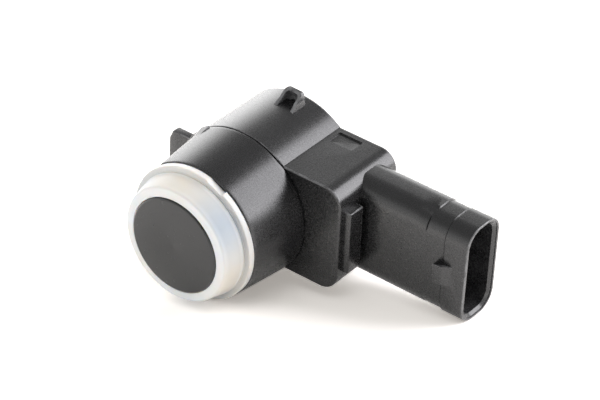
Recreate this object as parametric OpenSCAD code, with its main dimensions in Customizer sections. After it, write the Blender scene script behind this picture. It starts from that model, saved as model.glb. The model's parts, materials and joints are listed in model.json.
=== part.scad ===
// Ultrasonic parking sensor with a side connector.
// The sensing axis is Y and the face looks towards -Y. The connector points along +X and Z is up.
// The origin is on the sensing axis, in the plane where the ring's flange seats behind a bumper.

/* [Sensing face] */
// Diameter of the pot, which is the round dark face
face_d = 15.4; // [12:0.1:18]
// How far the face stands in front of the ring
face_proud = 0.2; // [0.1:0.05:0.6]
// Rounding of the face's edge
face_round = 0.35; // [0.1:0.05:0.6]
// Depth of the pot along the axis
pot_depth = 8.8; // [7.8:0.1:9.4]
// Thickness of the vibrating membrane
membrane_t = 0.8; // [0.5:0.05:1.2]
// Thickness of the pot's side wall
pot_wall = 1.2; // [0.8:0.05:1.6]
// How far the pot's rear foot stands out
foot_proud = 0.85; // [0.5:0.05:1.1]
// Thickness of the pot's rear foot
foot_t = 1.2; // [0.8:0.05:1.8]

/* [Decoupling ring] */
// Thickness of the ring outside the pot's foot
ring_wall = 1.1; // [0.8:0.05:1.4]
// Length of the nose in front of the flange
nose_len = 3.9; // [2.5:0.05:5]
// How much the nose's radius grows from its front to the flange
nose_taper = 0.83; // [0.5:0.01:1.1]
// How far the nose's front falls back from the face to its outer edge
nose_fall = 0.25; // [0.1:0.05:0.4]
// Rounding at the front edge of the nose
nose_round = 0.4; // [0.2:0.05:0.6]
// How far the flange stands out of the nose
flange_step = 0.78; // [0.5:0.01:1]
// Thickness of the flange
flange_t = 1.05; // [0.7:0.05:1.6]
// How far the flange's rim lies inside the collar's front edge
flange_inset = 0.15; // [0.05:0.05:0.3]
// Thickness of the lip behind the pot
ring_lip_t = 1.15; // [0.8:0.05:1.6]
// How far the lip reaches in behind the pot's wall
ring_lip_reach = 1.55; // [1.3:0.05:2]
// First angle of the keying notch, from +X towards +Z
notch_from = 58; // [40:1:64]
// Last angle of the keying notch
notch_to = 71; // [66:1:90]
// Depth of the keying notch at its step
notch_depth = 0.45; // [0.2:0.05:0.6]

/* [Collar] */
// Wall thickness at the front edge
collar_wall = 1.2; // [1:0.05:1.5]
// How far the rear edge stands out of the cup
collar_step = 0.05; // [0:0.05:0.3]
// Length of the collar, from the flange to the seam with the housing
collar_len = 10.33; // [9.6:0.01:12]
// Rounding of the front edge
collar_round = 0.25; // [0.1:0.05:0.4]
// Thickness of the shelf that carries the ring
shelf_t = 1.1; // [0.8:0.1:1.6]
// Radial width of the shelf
shelf_w = 2.6; // [2:0.1:3]
// Width of the snap groove inside the collar
groove_w = 0.9; // [0.6:0.05:1.2]
// Depth of the snap groove
groove_depth = 0.3; // [0.15:0.05:0.4]
// Angle at the middle of the raised latch over the groove, from +X towards +Z
latch_angle = 131; // [120:1:150]
// Width of the latch round the collar, in degrees
latch_span = 14; // [8:1:24]
// How far the latch stands out
latch_proud = 0.3; // [0.1:0.05:0.5]
// Length of the latch along the axis
latch_len = 2.4; // [1.5:0.1:4]

/* [Housing] */
// How far the spigot is wider than the collar's bore, on each side
spigot_step = 1.05; // [0.8:0.05:1.3]
// How far the cup is wider than the spigot, on each side
cup_step = 1.05; // [0.9:0.05:1.4]
// Length of the cup behind the seam
body_len = 13.92; // [13:0.02:16]
// Wall thickness of the cup
body_wall = 1.3; // [1:0.05:1.5]
// Thickness of the seat wall in front of the circuit board
seat_t = 1.5; // [1:0.1:2]
// Radial width of the ledge that carries the circuit board
ledge_w = 0.9; // [0.6:0.05:1.1]
// Length of the spigot that plugs into the collar
spigot_len = 3.1; // [2.4:0.05:3.2]
// How far the snap bead stands out of the spigot
bead_proud = 0.25; // [0.1:0.05:0.3]
// Depth of the resin below the rear rim
resin_drop = 0.6; // [0.3:0.05:1.2]

/* [Side block] */
// Distance from the sensing axis to the block's outer face
block_reach = 18.03; // [17:0.05:19]
// Height of the block
block_h = 17.75; // [17.2:0.05:18.6]
// Height of the block's middle above the sensing axis
block_z = 0.375; // [0:0.025:0.8]
// Corner radius of the block
block_round = 3; // [1:0.1:4]
// Wall thickness of the block
block_wall = 1.4; // [1:0.05:1.8]
// Side lengths of the shallow field on top, along X and Y
field_size = [4.2, 2.8];
// Middle of that field from the axis along X
field_x = 10.35; // [10:0.05:11.6]
// Distance from the rear rim to the middle of that field
field_back = 2.75; // [2:0.05:6]
// Depth of that field
field_depth = 0.25; // [0.1:0.05:0.4]
// How far the rib on the outer face stands out
rib_proud = 1.2; // [0.6:0.05:1.6]
// Width of the rib along the axis
rib_w = 3; // [2:0.1:3.4]
// Height of the rib
rib_h = 10.6; // [8:0.1:11.5]
// Distance from the seam to the rib
rib_setback = 1; // [0.6:0.1:1.3]

/* [Connector] */
// Distance from the sensing axis to the mouth
shroud_reach = 37; // [35.5:0.1:40]
// Width of the shroud along the sensing axis
shroud_w = 7.75; // [7:0.05:8]
// Height of the shroud
shroud_h = 16.55; // [15:0.05:16.8]
// Height of the shroud's middle above the sensing axis
shroud_z = 0.425; // [0.2:0.025:0.6]
// Distance from the rear rim to the middle of the shroud
shroud_back = 5.25; // [4.9:0.05:5.8]
// Corner radius of the shroud
shroud_round = 3; // [2.2:0.1:3.4]
// Wall thickness of the shroud
shroud_wall = 0.9; // [0.7:0.05:1.1]
// Length of the wider band at the mouth
lip_len = 3.9; // [3:0.1:4.4]
// How much wider that band is on each flat side
lip_proud = 0.15; // [0.05:0.05:0.3]
// How far that band's top lies below the shroud's top
lip_drop = 0.22; // [0.1:0.02:0.3]
// Length of the relief behind the band
relief_len = 3.1; // [2:0.1:4]
// Depth of the relief on top
relief_depth = 0.3; // [0.1:0.05:0.4]
// Depth of the relief below
relief_under = 0.1; // [0.05:0.05:0.2]
// Depth of the socket
socket_depth = 14.4; // [13:0.1:15.2]
// Width of the tapered lead-in at the mouth
lead_in = 0.55; // [0.2:0.05:0.65]
// Depth of the tapered lead-in
lead_in_depth = 0.9; // [0.4:0.1:1.4]
// How far the locking nose stands out
nose_proud = 1.3; // [0.8:0.05:1.6]
// Distance from the mouth to the steep face of the locking nose
nose_from_mouth = 5; // [4.4:0.1:6]
// Length of the locking nose
nose_l = 2.6; // [2:0.1:3.4]
// Height of the locking nose
nose_h = 3.7; // [2:0.1:4.4]

/* [Clip ramps and tab] */
// Height of a clip ramp above the cup
ramp_h = 2.15; // [1.5:0.05:3]
// Length of a clip ramp along the axis
ramp_len = 2.7; // [2.2:0.1:3.4]
// Width of a clip ramp
ramp_w = 3.1; // [2.6:0.1:4]
// Length of the flat crest of a clip ramp
crest_len = 0.5; // [0.3:0.05:0.8]
// Wall thickness of a clip ramp at its sides
ramp_side = 0.6; // [0.4:0.05:0.9]
// Thickness of the crest above the pocket
ramp_roof = 0.4; // [0.3:0.05:0.7]
// Rounding of a clip ramp's upper corners
ramp_round = 0.5; // [0.3:0.05:0.8]
// Distance from the rear rim to the steep face of a clip ramp
ramp_back = 2.1; // [1:0.1:4]
// Angle of the upper clip ramp, from +X towards +Z
ramp_angle = 88; // [84:1:92]
// How far the side tab stands out of the cup
tab_proud = 3.55; // [2.5:0.05:5]
// Height of the side tab
tab_h = 9.3; // [6:0.1:10]
// Thickness of the side tab along the axis
tab_t = 1.4; // [1:0.1:2]
// Distance from the seam to the side tab
tab_setback = 1.9; // [1:0.1:6]
// Chamfer of the side tab's corners, along X and Z
tab_chamfer = [0.65, 1.5];

/* [Transducer parts] */
// Diameter of the piezo disc
piezo_d = 9; // [7:0.1:11]
// Thickness of the piezo disc
piezo_t = 0.4; // [0.2:0.05:0.6]
// Thickness of the carrier plug
carrier_t = 1.7; // [1:0.1:2.2]
// Thickness of the foam disc
foam_t = 1.4; // [0.8:0.1:1.8]
// Diameter of each lead
lead_d = 0.5; // [0.3:0.05:0.7]
// Distance between the two leads
lead_gap = 3.2; // [2:0.1:5]

/* [Electronics] */
// Thickness of the circuit board
board_t = 1; // [0.8:0.1:1.6]
// Diameter of the transformer's flanges
coil_d = 6.2; // [5:0.1:7]
// Length of the wound part of the transformer
coil_len = 1.6; // [1:0.1:1.7]
// Thickness of the transformer's flanges and core cap
coil_flange = 0.5; // [0.3:0.05:0.5]
// Diameter of the transformer's core post
core_d = 2.4; // [1.6:0.1:3]
// Distance from the seat's bore to the transformer
coil_inset = 1.2; // [0.8:0.1:1.5]
// Side lengths of the control chip along X, Y and Z
chip_size = [4.4, 1.4, 6];
// Reach of the chip's legs on each side
chip_leg = 0.9; // [0.5:0.1:1.2]
// Number of legs on each side of the chip
chip_legs = 8; // [4:1:10]
// Side lengths of a capacitor along X, Y and Z
capacitor_size = [1.6, 1.4, 3];
// Side lengths of a resistor along X, Y and Z
resistor_size = [0.8, 0.45, 1.6];
// Distance between resistors
resistor_pitch = 1.7; // [1.4:0.1:2]
// Side lengths of the clamp diode along X, Y and Z
diode_size = [2.6, 1.2, 1.6];

/* [Terminals] */
// Width of a terminal blade
blade_w = 1.2; // [0.8:0.05:1.6]
// Thickness of a terminal
blade_t = 0.63; // [0.4:0.01:0.8]
// Distance between terminals
blade_pitch = 4; // [3:0.1:4.4]
// Length of a blade inside the socket
blade_len = 7; // [5:0.1:8]
// Length of the taper at a blade's tip
tip_taper = 0.9; // [0.4:0.1:1.5]
// Distance from the block's outer wall to the terminal's bend
bend_inset = 4.1; // [3:0.1:5]
// Width of the leg that passes through the board
leg_w = 0.8; // [0.5:0.05:1]

/* [Clearances] */
// Gap between round pieces that sit in each other
fit_gap = 0.05; // [0.03:0.01:0.15]
// Gap round the circuit board
board_gap = 0.15; // [0.1:0.01:0.3]
// Gap between the spigot and the collar
spigot_gap = 0.1; // [0.05:0.01:0.2]

/* [Hidden] */
$fn = 96;
// Overshoot of a cut past the face that it opens
over = 1;
// Number of flat steps in a rounded corner
corner_steps = 12;

// Places along the sensing axis
face_y = -nose_len - face_proud;
membrane_back = face_y + membrane_t;
pot_back = face_y + pot_depth;
foot_front = pot_back - foot_t;
ring_front = -nose_len;
nose_edge = ring_front + nose_fall;
ring_back = pot_back + fit_gap + ring_lip_t;
shelf_back = ring_back + shelf_t;
seam_y = flange_t + collar_len;
rear_y = seam_y + body_len;
board_y = seam_y + seat_t;
board_back = board_y + board_t;
resin_back = rear_y - resin_drop;
spigot_front = seam_y - spigot_len;
shroud_y = rear_y - shroud_back;

// Radii of the round pieces
pot_r = face_d / 2;
pot_bore_r = pot_r - pot_wall;
foot_r = pot_r + foot_proud;
ring_bore_r = pot_r + fit_gap;
ring_body_r = foot_r + fit_gap + ring_wall;
collar_bore_r = ring_body_r + spigot_gap;
collar_front_r = collar_bore_r + collar_wall;
flange_r = collar_front_r - flange_inset;
nose_root_r = flange_r - flange_step;
nose_front_r = nose_root_r - nose_taper;
shelf_r = collar_bore_r - shelf_w;
spigot_r = collar_bore_r + spigot_step;
socket_r = spigot_r + spigot_gap;
body_r = spigot_r + cup_step;
collar_rear_r = body_r + collar_step;
cup_r = body_r - body_wall;
ledge_r = cup_r - ledge_w;
bead_middle = spigot_front + spigot_len / 2;

// Sizes of the block, the shroud and the electronics
block_low = block_z - block_h / 2;
block_high = block_z + block_h / 2;
pocket_x = block_reach - block_wall;
pocket_h = block_h - 2 * block_wall;
socket_w = shroud_w - 2 * shroud_wall;
socket_h = shroud_h - 2 * shroud_wall - lip_drop;
socket_z = shroud_z - lip_drop / 2;
socket_round = shroud_round - shroud_wall;
socket_floor = shroud_reach - socket_depth;
shroud_front = shroud_y - shroud_w / 2;
bend_x = pocket_x - bend_inset;
coil_x = ledge_r - coil_inset - coil_d / 2;
coil_front = board_y - 2 * coil_flange - coil_len;
post_r = core_d / 2;
tube_r = post_r + fit_gap + coil_flange / 2;
winding_r = coil_d / 2 - coil_flange;
chip_x = -pot_r / 2;
capacitor_x = ledge_r / 3;
capacitor_z = pocket_h / 3;
resistor_x = -pot_r / 4;
resistor_z = -ledge_r * 0.75;
diode_x = capacitor_x + capacitor_size[0] + diode_size[0];
black = [0.05, 0.05, 0.055];
copper = [0.72, 0.42, 0.2];
tin = [0.78, 0.78, 0.76];

// Turns a shape so that its own Z runs along the sensing axis
module along_axis() {
    rotate([-90, 0, 0]) children();
}

// A solid of revolution about the sensing axis, from points of radius and place
module turned(points) {
    along_axis() rotate_extrude() polygon(points);
}

// A round bar along the sensing axis
module bar(r, from, to) {
    along_axis() translate([0, 0, from]) cylinder(r = r, h = to - from);
}

// A box given by its middle and side lengths
module brick(middle, size) {
    translate(middle) cube(size, center = true);
}

// Points of an arc about a middle
function arc(middle, r, from, to) =
    [for (i = [0 : corner_steps])
        let (a = from + (to - from) * i / corner_steps)
        middle + r * [cos(a), sin(a)]];

// Rectangle about the origin with rounded corners
module rounded(w, h, r) {
    x = w / 2 - r;
    y = h / 2 - r;
    polygon(concat(
        arc([x, y], r, 0, 90), arc([-x, y], r, 90, 180),
        arc([-x, -y], r, 180, 270), arc([x, -y], r, 270, 360)));
}

// Rounded rectangle across the connector, carried along X between two places
module connector_run(from, to, z, w, h, r) {
    translate([from, shroud_y, z])
        rotate([90, 0, 90])
            linear_extrude(to - from) rounded(w, h, r);
}

// A shape in the X and Z plane, carried along the sensing axis between two places
module axial_run(from, to) {
    translate([0, to, 0]) rotate([90, 0, 0]) linear_extrude(to - from) children();
}

// Outline of the block seen along the axis, square at the cup and rounded outside
module block_outline() {
    x = block_reach - block_round;
    polygon(concat(
        [[0, block_low]], arc([x, block_low + block_round], block_round, 270, 360),
        arc([x, block_high - block_round], block_round, 0, 90), [[0, block_high]]));
}

// Outline of the chamber for the circuit board: a disc and the inside of the block
module chamber_outline(gap) {
    circle(r = cup_r - gap);
    translate([0, block_z - pocket_h / 2 + gap]) square([pocket_x - gap, pocket_h - 2 * gap]);
}

// Spigot with a snap bead, which the collar's groove takes
module spigot() {
    bead_top = groove_w / 2 - spigot_gap;
    turned([
        [ledge_r, spigot_front], [spigot_r - bead_proud, spigot_front], [spigot_r, spigot_front + bead_proud],
        [spigot_r, bead_middle - bead_top], [spigot_r + bead_proud, bead_middle],
        [spigot_r, bead_middle + bead_top], [spigot_r, seam_y + over], [ledge_r, seam_y + over]]);
}

// Outline of an arch seen along the axis, with rounded upper corners
module arch(half, root, top, r) {
    polygon(concat(
        [[half, root]], arc([half - r, top - r], r, 0, 90),
        arc([r - half, top - r], r, 90, 180), [[-half, root]]));
}

// Clip ramp on top of the cup: an arch cut to a wedge, with a pocket in its sloping face
module clip_ramp() {
    top = body_r + ramp_h;
    root = body_r - body_wall / 2;
    back = rear_y - ramp_back;
    toe = back - ramp_len;
    half = ramp_w / 2;
    difference() {
        intersection() {
            axial_run(toe, back) arch(half, root, top, ramp_round);
            translate([-ramp_w, 0, 0]) rotate([90, 0, 90])
                linear_extrude(2 * ramp_w) polygon([
                    [toe, root - over], [toe, body_r], [back - crest_len, top], [back + over, top],
                    [back + over, root - over]]);
        }
        axial_run(toe - over, back - crest_len)
            arch(half - ramp_side, root - over, top - ramp_roof, ramp_round / 2);
    }
}

// Tab opposite the connector, with cut corners
module side_tab() {
    root = body_r - body_wall / 2;
    tip = body_r + tab_proud;
    h = tab_h / 2;
    front = seam_y + tab_setback;
    axial_run(front, front + tab_t) polygon([
        [-root, -h], [-tip + tab_chamfer[0], -h], [-tip, tab_chamfer[1] - h],
        [-tip, h - tab_chamfer[1]], [-tip + tab_chamfer[0], h], [-root, h]]);
}

// Wedge that locks the plug, on the shroud's front wall
module locking_nose() {
    back = shroud_reach - nose_from_mouth;
    crest = nose_l / 8;
    wall = shroud_front + shroud_wall / 2;
    translate([0, 0, socket_z - nose_h / 2])
        linear_extrude(nose_h) polygon([
            [back, wall], [back, shroud_front - nose_proud], [back + crest, shroud_front - nose_proud],
            [back + nose_l, shroud_front], [back + nose_l, wall]]);
}

// Connector shroud: a rounded tube with a lower, wider band at its mouth and a relief behind the band
module shroud() {
    band = shroud_reach - lip_len;
    relief = band - relief_len;
    relief_z = shroud_z + (relief_under - relief_depth) / 2;
    connector_run(pocket_x, relief, shroud_z, shroud_w, shroud_h, shroud_round);
    connector_run(relief, band, relief_z, shroud_w, shroud_h - relief_depth - relief_under, shroud_round);
    connector_run(band, shroud_reach, socket_z, shroud_w + 2 * lip_proud, shroud_h - lip_drop, shroud_round);
}

// Tapered lead-in, which opens the socket towards the mouth
module lead_in_cut() {
    hull() {
        connector_run(shroud_reach - lead_in_depth, shroud_reach, socket_z, socket_w, socket_h, socket_round);
        connector_run(shroud_reach, shroud_reach + over, socket_z,
            socket_w + 2 * lead_in, socket_h + 2 * lead_in, socket_round + lead_in);
    }
}

// Rib on the block's outer face
module rib() {
    front = seam_y + rib_setback;
    translate([block_reach - block_wall / 2, front, block_z - rib_h / 2])
        cube([rib_proud + block_wall / 2, rib_w, rib_h]);
}

// One terminal: a blade along the connector, tapered at its tip, and a leg down to the board
module terminal(z) {
    tip = socket_floor + blade_len;
    half = blade_t / 2;
    side = blade_w / 2;
    foot = board_y + board_gap;
    color(tin) translate([0, 0, z]) {
        axial_run(shroud_y - half, shroud_y + half) polygon([
            [bend_x - half, -side], [tip - tip_taper, -side], [tip, -side / 2], [tip, side / 2],
            [tip - tip_taper, side], [bend_x - half, side]]);
        translate([bend_x - half, foot, -leg_w / 2])
            cube([blade_t, shroud_y - foot, leg_w]);
    }
}

// All three terminals
module terminal_row() {
    for (i = [-1 : 1]) terminal(socket_z + i * blade_pitch);
}

module housing() {
    color(black) difference() {
        union() {
            bar(body_r, seam_y, rear_y);
            spigot();
            axial_run(seam_y, rear_y) block_outline();
            shroud();
            rib();
            locking_nose();
            side_tab();
            rotate([0, 90 - ramp_angle, 0]) clip_ramp();
            rotate([0, 270 - ramp_angle, 0]) clip_ramp();
        }
        bar(ledge_r, spigot_front - over, board_y + over);
        axial_run(board_y, rear_y + over) chamber_outline(0);
        connector_run(socket_floor, shroud_reach + over, socket_z, socket_w, socket_h, socket_round);
        lead_in_cut();
        brick([field_x, rear_y - field_back, block_high], [field_size[0], field_size[1], 2 * field_depth]);
        terminal_row();
    }
}

// Outer radius of the collar at a place along the axis
function collar_r(y) = collar_front_r + (collar_rear_r - collar_front_r) * (y - flange_t) / collar_len;

// Latch raised on the collar's rear edge, as a slice of a thin cone
module collar_latch() {
    r = collar_r(seam_y);
    reach = 2 * r;
    half = latch_span / 2;
    intersection() {
        turned([
            [r - latch_proud, seam_y - latch_len], [collar_r(seam_y - latch_len), seam_y - latch_len],
            [r + latch_proud, seam_y], [r - latch_proud, seam_y]]);
        axial_run(seam_y - latch_len - over, seam_y + over) polygon([
            [0, 0], reach * [cos(latch_angle - half), sin(latch_angle - half)],
            reach * [cos(latch_angle + half), sin(latch_angle + half)]]);
    }
}

module front_collar() {
    groove_from = bead_middle - groove_w / 2;
    groove_to = bead_middle + groove_w / 2;
    stop = spigot_front - spigot_gap;
    color(black) union() {
        turned([
            [collar_bore_r, flange_t], [collar_front_r - collar_round, flange_t],
            [collar_r(flange_t + collar_round), flange_t + collar_round], [collar_r(seam_y), seam_y],
            [socket_r, seam_y], [socket_r, groove_to], [socket_r + groove_depth, bead_middle],
            [socket_r, groove_from], [socket_r, stop], [collar_bore_r, stop], [collar_bore_r, shelf_back],
            [shelf_r, shelf_back], [shelf_r, ring_back], [collar_bore_r, ring_back]]);
        collar_latch();
    }
}

// Wedge taken out of the flange's edge, which stops the ring from turning in its holder
module keying_notch() {
    reach = flange_r + over;
    axial_run(-over, flange_t + over) polygon([
        flange_r * [cos(notch_to), sin(notch_to)],
        (flange_r - notch_depth) * [cos(notch_from), sin(notch_from)],
        reach * [cos(notch_from), sin(notch_from)], reach * [cos(notch_to), sin(notch_to)]]);
}

module decoupling_ring() {
    color([0.9, 0.92, 0.94]) difference() {
        turned([
            [ring_bore_r, ring_front], [nose_front_r - nose_round, nose_edge],
            [nose_front_r - nose_round / 4, nose_edge + nose_round / 3],
            [nose_front_r, nose_edge + nose_round],
            [nose_root_r, 0], [flange_r, 0], [flange_r, flange_t], [ring_body_r, flange_t],
            [ring_body_r, ring_back], [pot_r - ring_lip_reach, ring_back],
            [pot_r - ring_lip_reach, pot_back + fit_gap], [foot_r + fit_gap, pot_back + fit_gap],
            [foot_r + fit_gap, foot_front - fit_gap], [ring_bore_r, foot_front - fit_gap]]);
        keying_notch();
    }
}

module transducer_pot() {
    color([0.32, 0.32, 0.33]) turned([
        [0, face_y], [pot_r - face_round, face_y],
        [pot_r - 0.3 * face_round, face_y + 0.3 * face_round], [pot_r, face_y + face_round],
        [pot_r, foot_front], [foot_r, foot_front], [foot_r, pot_back],
        [pot_bore_r, pot_back], [pot_bore_r, membrane_back], [0, membrane_back]]);
}

module piezo_disc() {
    color([0.85, 0.8, 0.62]) bar(piezo_d / 2, membrane_back, membrane_back + piezo_t);
}

// Holes for the two leads, with a gap round each wire
module lead_holes(from, to) {
    for (side = [-1, 1])
        translate([0, 0, side * lead_gap / 2]) bar(lead_d / 2 + fit_gap, from - over, to + over);
}

module damping_pad() {
    r = pot_bore_r - fit_gap;
    pit = piezo_d / 2 + fit_gap;
    back = pot_back - carrier_t;
    color([0.55, 0.55, 0.5]) difference() {
        turned([
            [0, membrane_back + piezo_t], [pit, membrane_back + piezo_t], [pit, membrane_back],
            [r, membrane_back], [r, back], [0, back]]);
        lead_holes(membrane_back, back);
    }
}

module pot_carrier() {
    color([0.15, 0.15, 0.16]) difference() {
        bar(pot_bore_r - fit_gap, pot_back - carrier_t, pot_back);
        lead_holes(pot_back - carrier_t, pot_back);
    }
}

module foam_disc() {
    color([0.3, 0.3, 0.32]) difference() {
        bar(min(ledge_r, collar_bore_r) - fit_gap, shelf_back, shelf_back + foam_t);
        lead_holes(shelf_back, shelf_back + foam_t);
    }
}

// One lead, from the back of the piezo disc to just behind the board
module lead(z) {
    translate([0, 0, z]) bar(lead_d / 2, membrane_back + piezo_t, board_back + lead_d);
}

module lead_signal() {
    color([0.75, 0.15, 0.12]) lead(lead_gap / 2);
}

module lead_return() {
    color([0.1, 0.1, 0.1]) lead(-lead_gap / 2);
}

module circuit_board() {
    color([0.08, 0.3, 0.16]) difference() {
        axial_run(board_y, board_back) chamber_outline(board_gap);
        lead_holes(board_y, board_back);
        for (i = [-1 : 1])
            brick([bend_x, board_y, socket_z + i * blade_pitch],
                [blade_t + 2 * fit_gap, 4 * board_t, leg_w + 2 * fit_gap]);
    }
}

// The transformer stands on the front of the board, beside the axis
module transformer_bobbin() {
    color([0.2, 0.2, 0.22]) translate([-coil_x, 0, 0]) difference() {
        turned([
            [0, board_y], [coil_d / 2, board_y], [coil_d / 2, board_y - coil_flange],
            [tube_r, board_y - coil_flange], [tube_r, board_y - coil_flange - coil_len],
            [coil_d / 2, board_y - coil_flange - coil_len], [coil_d / 2, coil_front], [0, coil_front]]);
        bar(post_r + fit_gap, coil_front - over, board_y - coil_flange / 2);
    }
}

module transformer_winding() {
    color(copper) translate([-coil_x, 0, 0]) difference() {
        bar(winding_r, board_y - coil_flange - coil_len, board_y - coil_flange);
        bar(tube_r + fit_gap, coil_front, board_y);
    }
}

module transformer_core() {
    color([0.16, 0.16, 0.17]) translate([-coil_x, 0, 0]) {
        bar(post_r, coil_front - coil_flange / 2, board_y - coil_flange / 2);
        bar(coil_d / 2, coil_front - coil_flange, coil_front);
    }
}

// Chip on the rear of the board, with a row of bent legs on both sides
module control_chip() {
    pitch = chip_size[2] / chip_legs;
    leg_t = chip_size[1] / 6;
    color([0.1, 0.1, 0.11]) translate([chip_x, board_back, 0]) {
        brick([0, chip_size[1] / 2 + leg_t / 2, 0], chip_size - [0, leg_t, 0]);
        for (side = [-1, 1], i = [0 : chip_legs - 1])
            translate([side * chip_size[0] / 2, 0, (i + 0.5) * pitch - chip_size[2] / 2]) {
                brick([side * chip_leg / 4, chip_size[1] / 2, 0], [chip_leg / 2, leg_t, pitch / 2]);
                brick([side * (chip_leg / 2 - leg_t / 2), chip_size[1] / 4 + leg_t / 4, 0],
                    [leg_t, chip_size[1] / 2 + leg_t / 2, pitch / 2]);
                brick([side * chip_leg * 0.75, leg_t / 2, 0], [chip_leg / 2 + leg_t, leg_t, pitch / 2]);
            }
    }
}

// Places a part on the rear of the board by the middle of its foot
module on_board(x, z, size) {
    brick([x, board_back + size[1] / 2, z], size);
}

module capacitors() {
    color([0.75, 0.6, 0.3])
        for (i = [-1 : 1]) on_board(capacitor_x, block_z + i * capacitor_z, capacitor_size);
}

module resistors() {
    color([0.12, 0.12, 0.14])
        for (i = [-1 : 1]) on_board(resistor_x + i * resistor_pitch, resistor_z, resistor_size);
}

module clamp_diode() {
    color([0.14, 0.14, 0.15]) on_board(diode_x, block_z + capacitor_z, diode_size);
}

module terminal_upper() {
    terminal(socket_z + blade_pitch);
}

module terminal_middle() {
    terminal(socket_z);
}

module terminal_lower() {
    terminal(socket_z - blade_pitch);
}

// Resin from the board to just below the rear rim, moulded round what stands on the board
module potting_fill() {
    chip_room = [chip_size[0] + 2 * (chip_leg + chip_size[1] / 6), chip_size[1], chip_size[2]];
    color([0.09, 0.09, 0.1]) difference() {
        axial_run(board_back, resin_back) chamber_outline(fit_gap);
        brick([chip_x, board_back, 0], [chip_room[0], 2 * chip_room[1] + 2 * fit_gap, chip_room[2]]);
        lead_holes(board_back, board_back + lead_d - over);
        capacitors();
        resistors();
        clamp_diode();
        terminal_row();
    }
}

housing();
front_collar();
decoupling_ring();
transducer_pot();
piezo_disc();
damping_pad();
pot_carrier();
foam_disc();
lead_signal();
lead_return();
circuit_board();
transformer_bobbin();
transformer_winding();
transformer_core();
control_chip();
capacitors();
resistors();
clamp_diode();
terminal_upper();
terminal_middle();
terminal_lower();
potting_fill();
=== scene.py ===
# %% [markdown]
# # A parking sensor, dressed for its portrait
#
# The sensor is a black moulded housing with a side connector, a conical collar in front of it, and a milky
# silicone ring that holds a dark round face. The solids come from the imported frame, in metres. This lesson
# gives each visible piece a surface with the soft edges of a real moulding, worked out with numpy, and gives
# every piece a finish made of nodes.

import json

import bmesh
import bpy
import numpy as np
from mathutils import Matrix, Quaternion, Vector


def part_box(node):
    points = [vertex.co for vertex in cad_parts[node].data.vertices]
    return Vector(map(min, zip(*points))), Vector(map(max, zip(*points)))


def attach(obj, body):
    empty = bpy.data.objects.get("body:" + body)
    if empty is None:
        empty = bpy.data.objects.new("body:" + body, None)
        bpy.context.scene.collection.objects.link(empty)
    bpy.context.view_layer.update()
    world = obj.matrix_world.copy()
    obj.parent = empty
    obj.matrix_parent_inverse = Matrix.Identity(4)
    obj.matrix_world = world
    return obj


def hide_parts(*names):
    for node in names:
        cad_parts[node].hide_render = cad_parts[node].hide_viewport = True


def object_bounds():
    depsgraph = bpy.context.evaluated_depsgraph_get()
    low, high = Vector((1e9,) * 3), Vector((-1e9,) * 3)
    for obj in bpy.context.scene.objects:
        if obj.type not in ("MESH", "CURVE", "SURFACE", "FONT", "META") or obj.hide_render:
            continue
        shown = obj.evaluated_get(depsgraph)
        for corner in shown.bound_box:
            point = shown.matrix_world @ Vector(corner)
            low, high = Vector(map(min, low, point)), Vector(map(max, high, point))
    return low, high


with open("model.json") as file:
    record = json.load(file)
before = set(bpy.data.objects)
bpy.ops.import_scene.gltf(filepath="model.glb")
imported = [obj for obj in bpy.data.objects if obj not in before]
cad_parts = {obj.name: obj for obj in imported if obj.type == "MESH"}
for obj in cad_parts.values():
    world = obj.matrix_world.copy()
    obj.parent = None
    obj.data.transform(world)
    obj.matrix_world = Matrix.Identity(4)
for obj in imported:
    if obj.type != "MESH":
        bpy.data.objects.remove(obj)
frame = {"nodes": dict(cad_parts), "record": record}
cad_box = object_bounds()
MM = 0.001
box_in_mm = [tuple(round(c / MM, 2) for c in corner) for corner in cad_box]
print("loaded", len(frame["nodes"]), "nodes; box in mm:", box_in_mm)


# %% [markdown]
# ## Camera
# The photograph was taken from the front right and above with a long lens. A camera is easiest to place by
# the point that it looks at, two angles, a small roll and a distance. Its three axes are worked out from the
# angles and go straight into its matrix, so no constraint is needed.

# %% Place the camera
LOOK_AT = np.array([11.74, 10.08, 6.09]) * MM
VIEW_AZIMUTH, VIEW_ELEVATION, VIEW_ROLL = np.radians([36.24, 35.45, 2.93])
VIEW_DISTANCE = 381.9 * MM
LENS, SENSOR_W, CLIP_START = 159.5, 36, 0.01


def direction(azimuth, elevation):
    """Unit vector towards a place seen at an azimuth from -Y round to +X, and an elevation above level."""
    level = np.cos(elevation)
    return np.array([np.sin(azimuth) * level, -np.cos(azimuth) * level, np.sin(elevation)])


def unit(v):
    """Vector divided by its own length, or each row of an array by the length of that row."""
    return v / np.linalg.norm(v, axis=-1, keepdims=True)


def place_camera():
    """Camera axes: back points at the viewer, right is level, and the roll turns right and up about back."""
    back = direction(VIEW_AZIMUTH, VIEW_ELEVATION)
    level_right = unit(np.cross([0, 0, 1], back))
    level_up = np.cross(back, level_right)
    right = np.cos(VIEW_ROLL) * level_right + np.sin(VIEW_ROLL) * level_up
    up = np.cross(back, right)
    eye = LOOK_AT + VIEW_DISTANCE * back
    camera = bpy.data.objects.new("camera", bpy.data.cameras.new("camera"))
    camera.data.lens = LENS
    camera.data.sensor_width = SENSOR_W
    camera.data.clip_start = CLIP_START
    axes = np.column_stack([right, up, back, eye])
    camera.matrix_world = Matrix(np.vstack([axes, [0, 0, 0, 1]]).tolist())
    bpy.context.scene.collection.objects.link(camera)
    bpy.context.scene.camera = camera
    return camera


camera = place_camera()
print("camera stands at", [round(c / MM, 1) for c in camera.matrix_world.translation], "mm")


# %% [markdown]
# ## Main sizes
# The frame gives the box of every node, so the sizes that matter are read from it: where the collar ends, how
# far the mouth reaches, how wide the flange is. The smaller sizes, such as a corner radius, are named where
# they are first needed, in millimetres.

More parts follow.
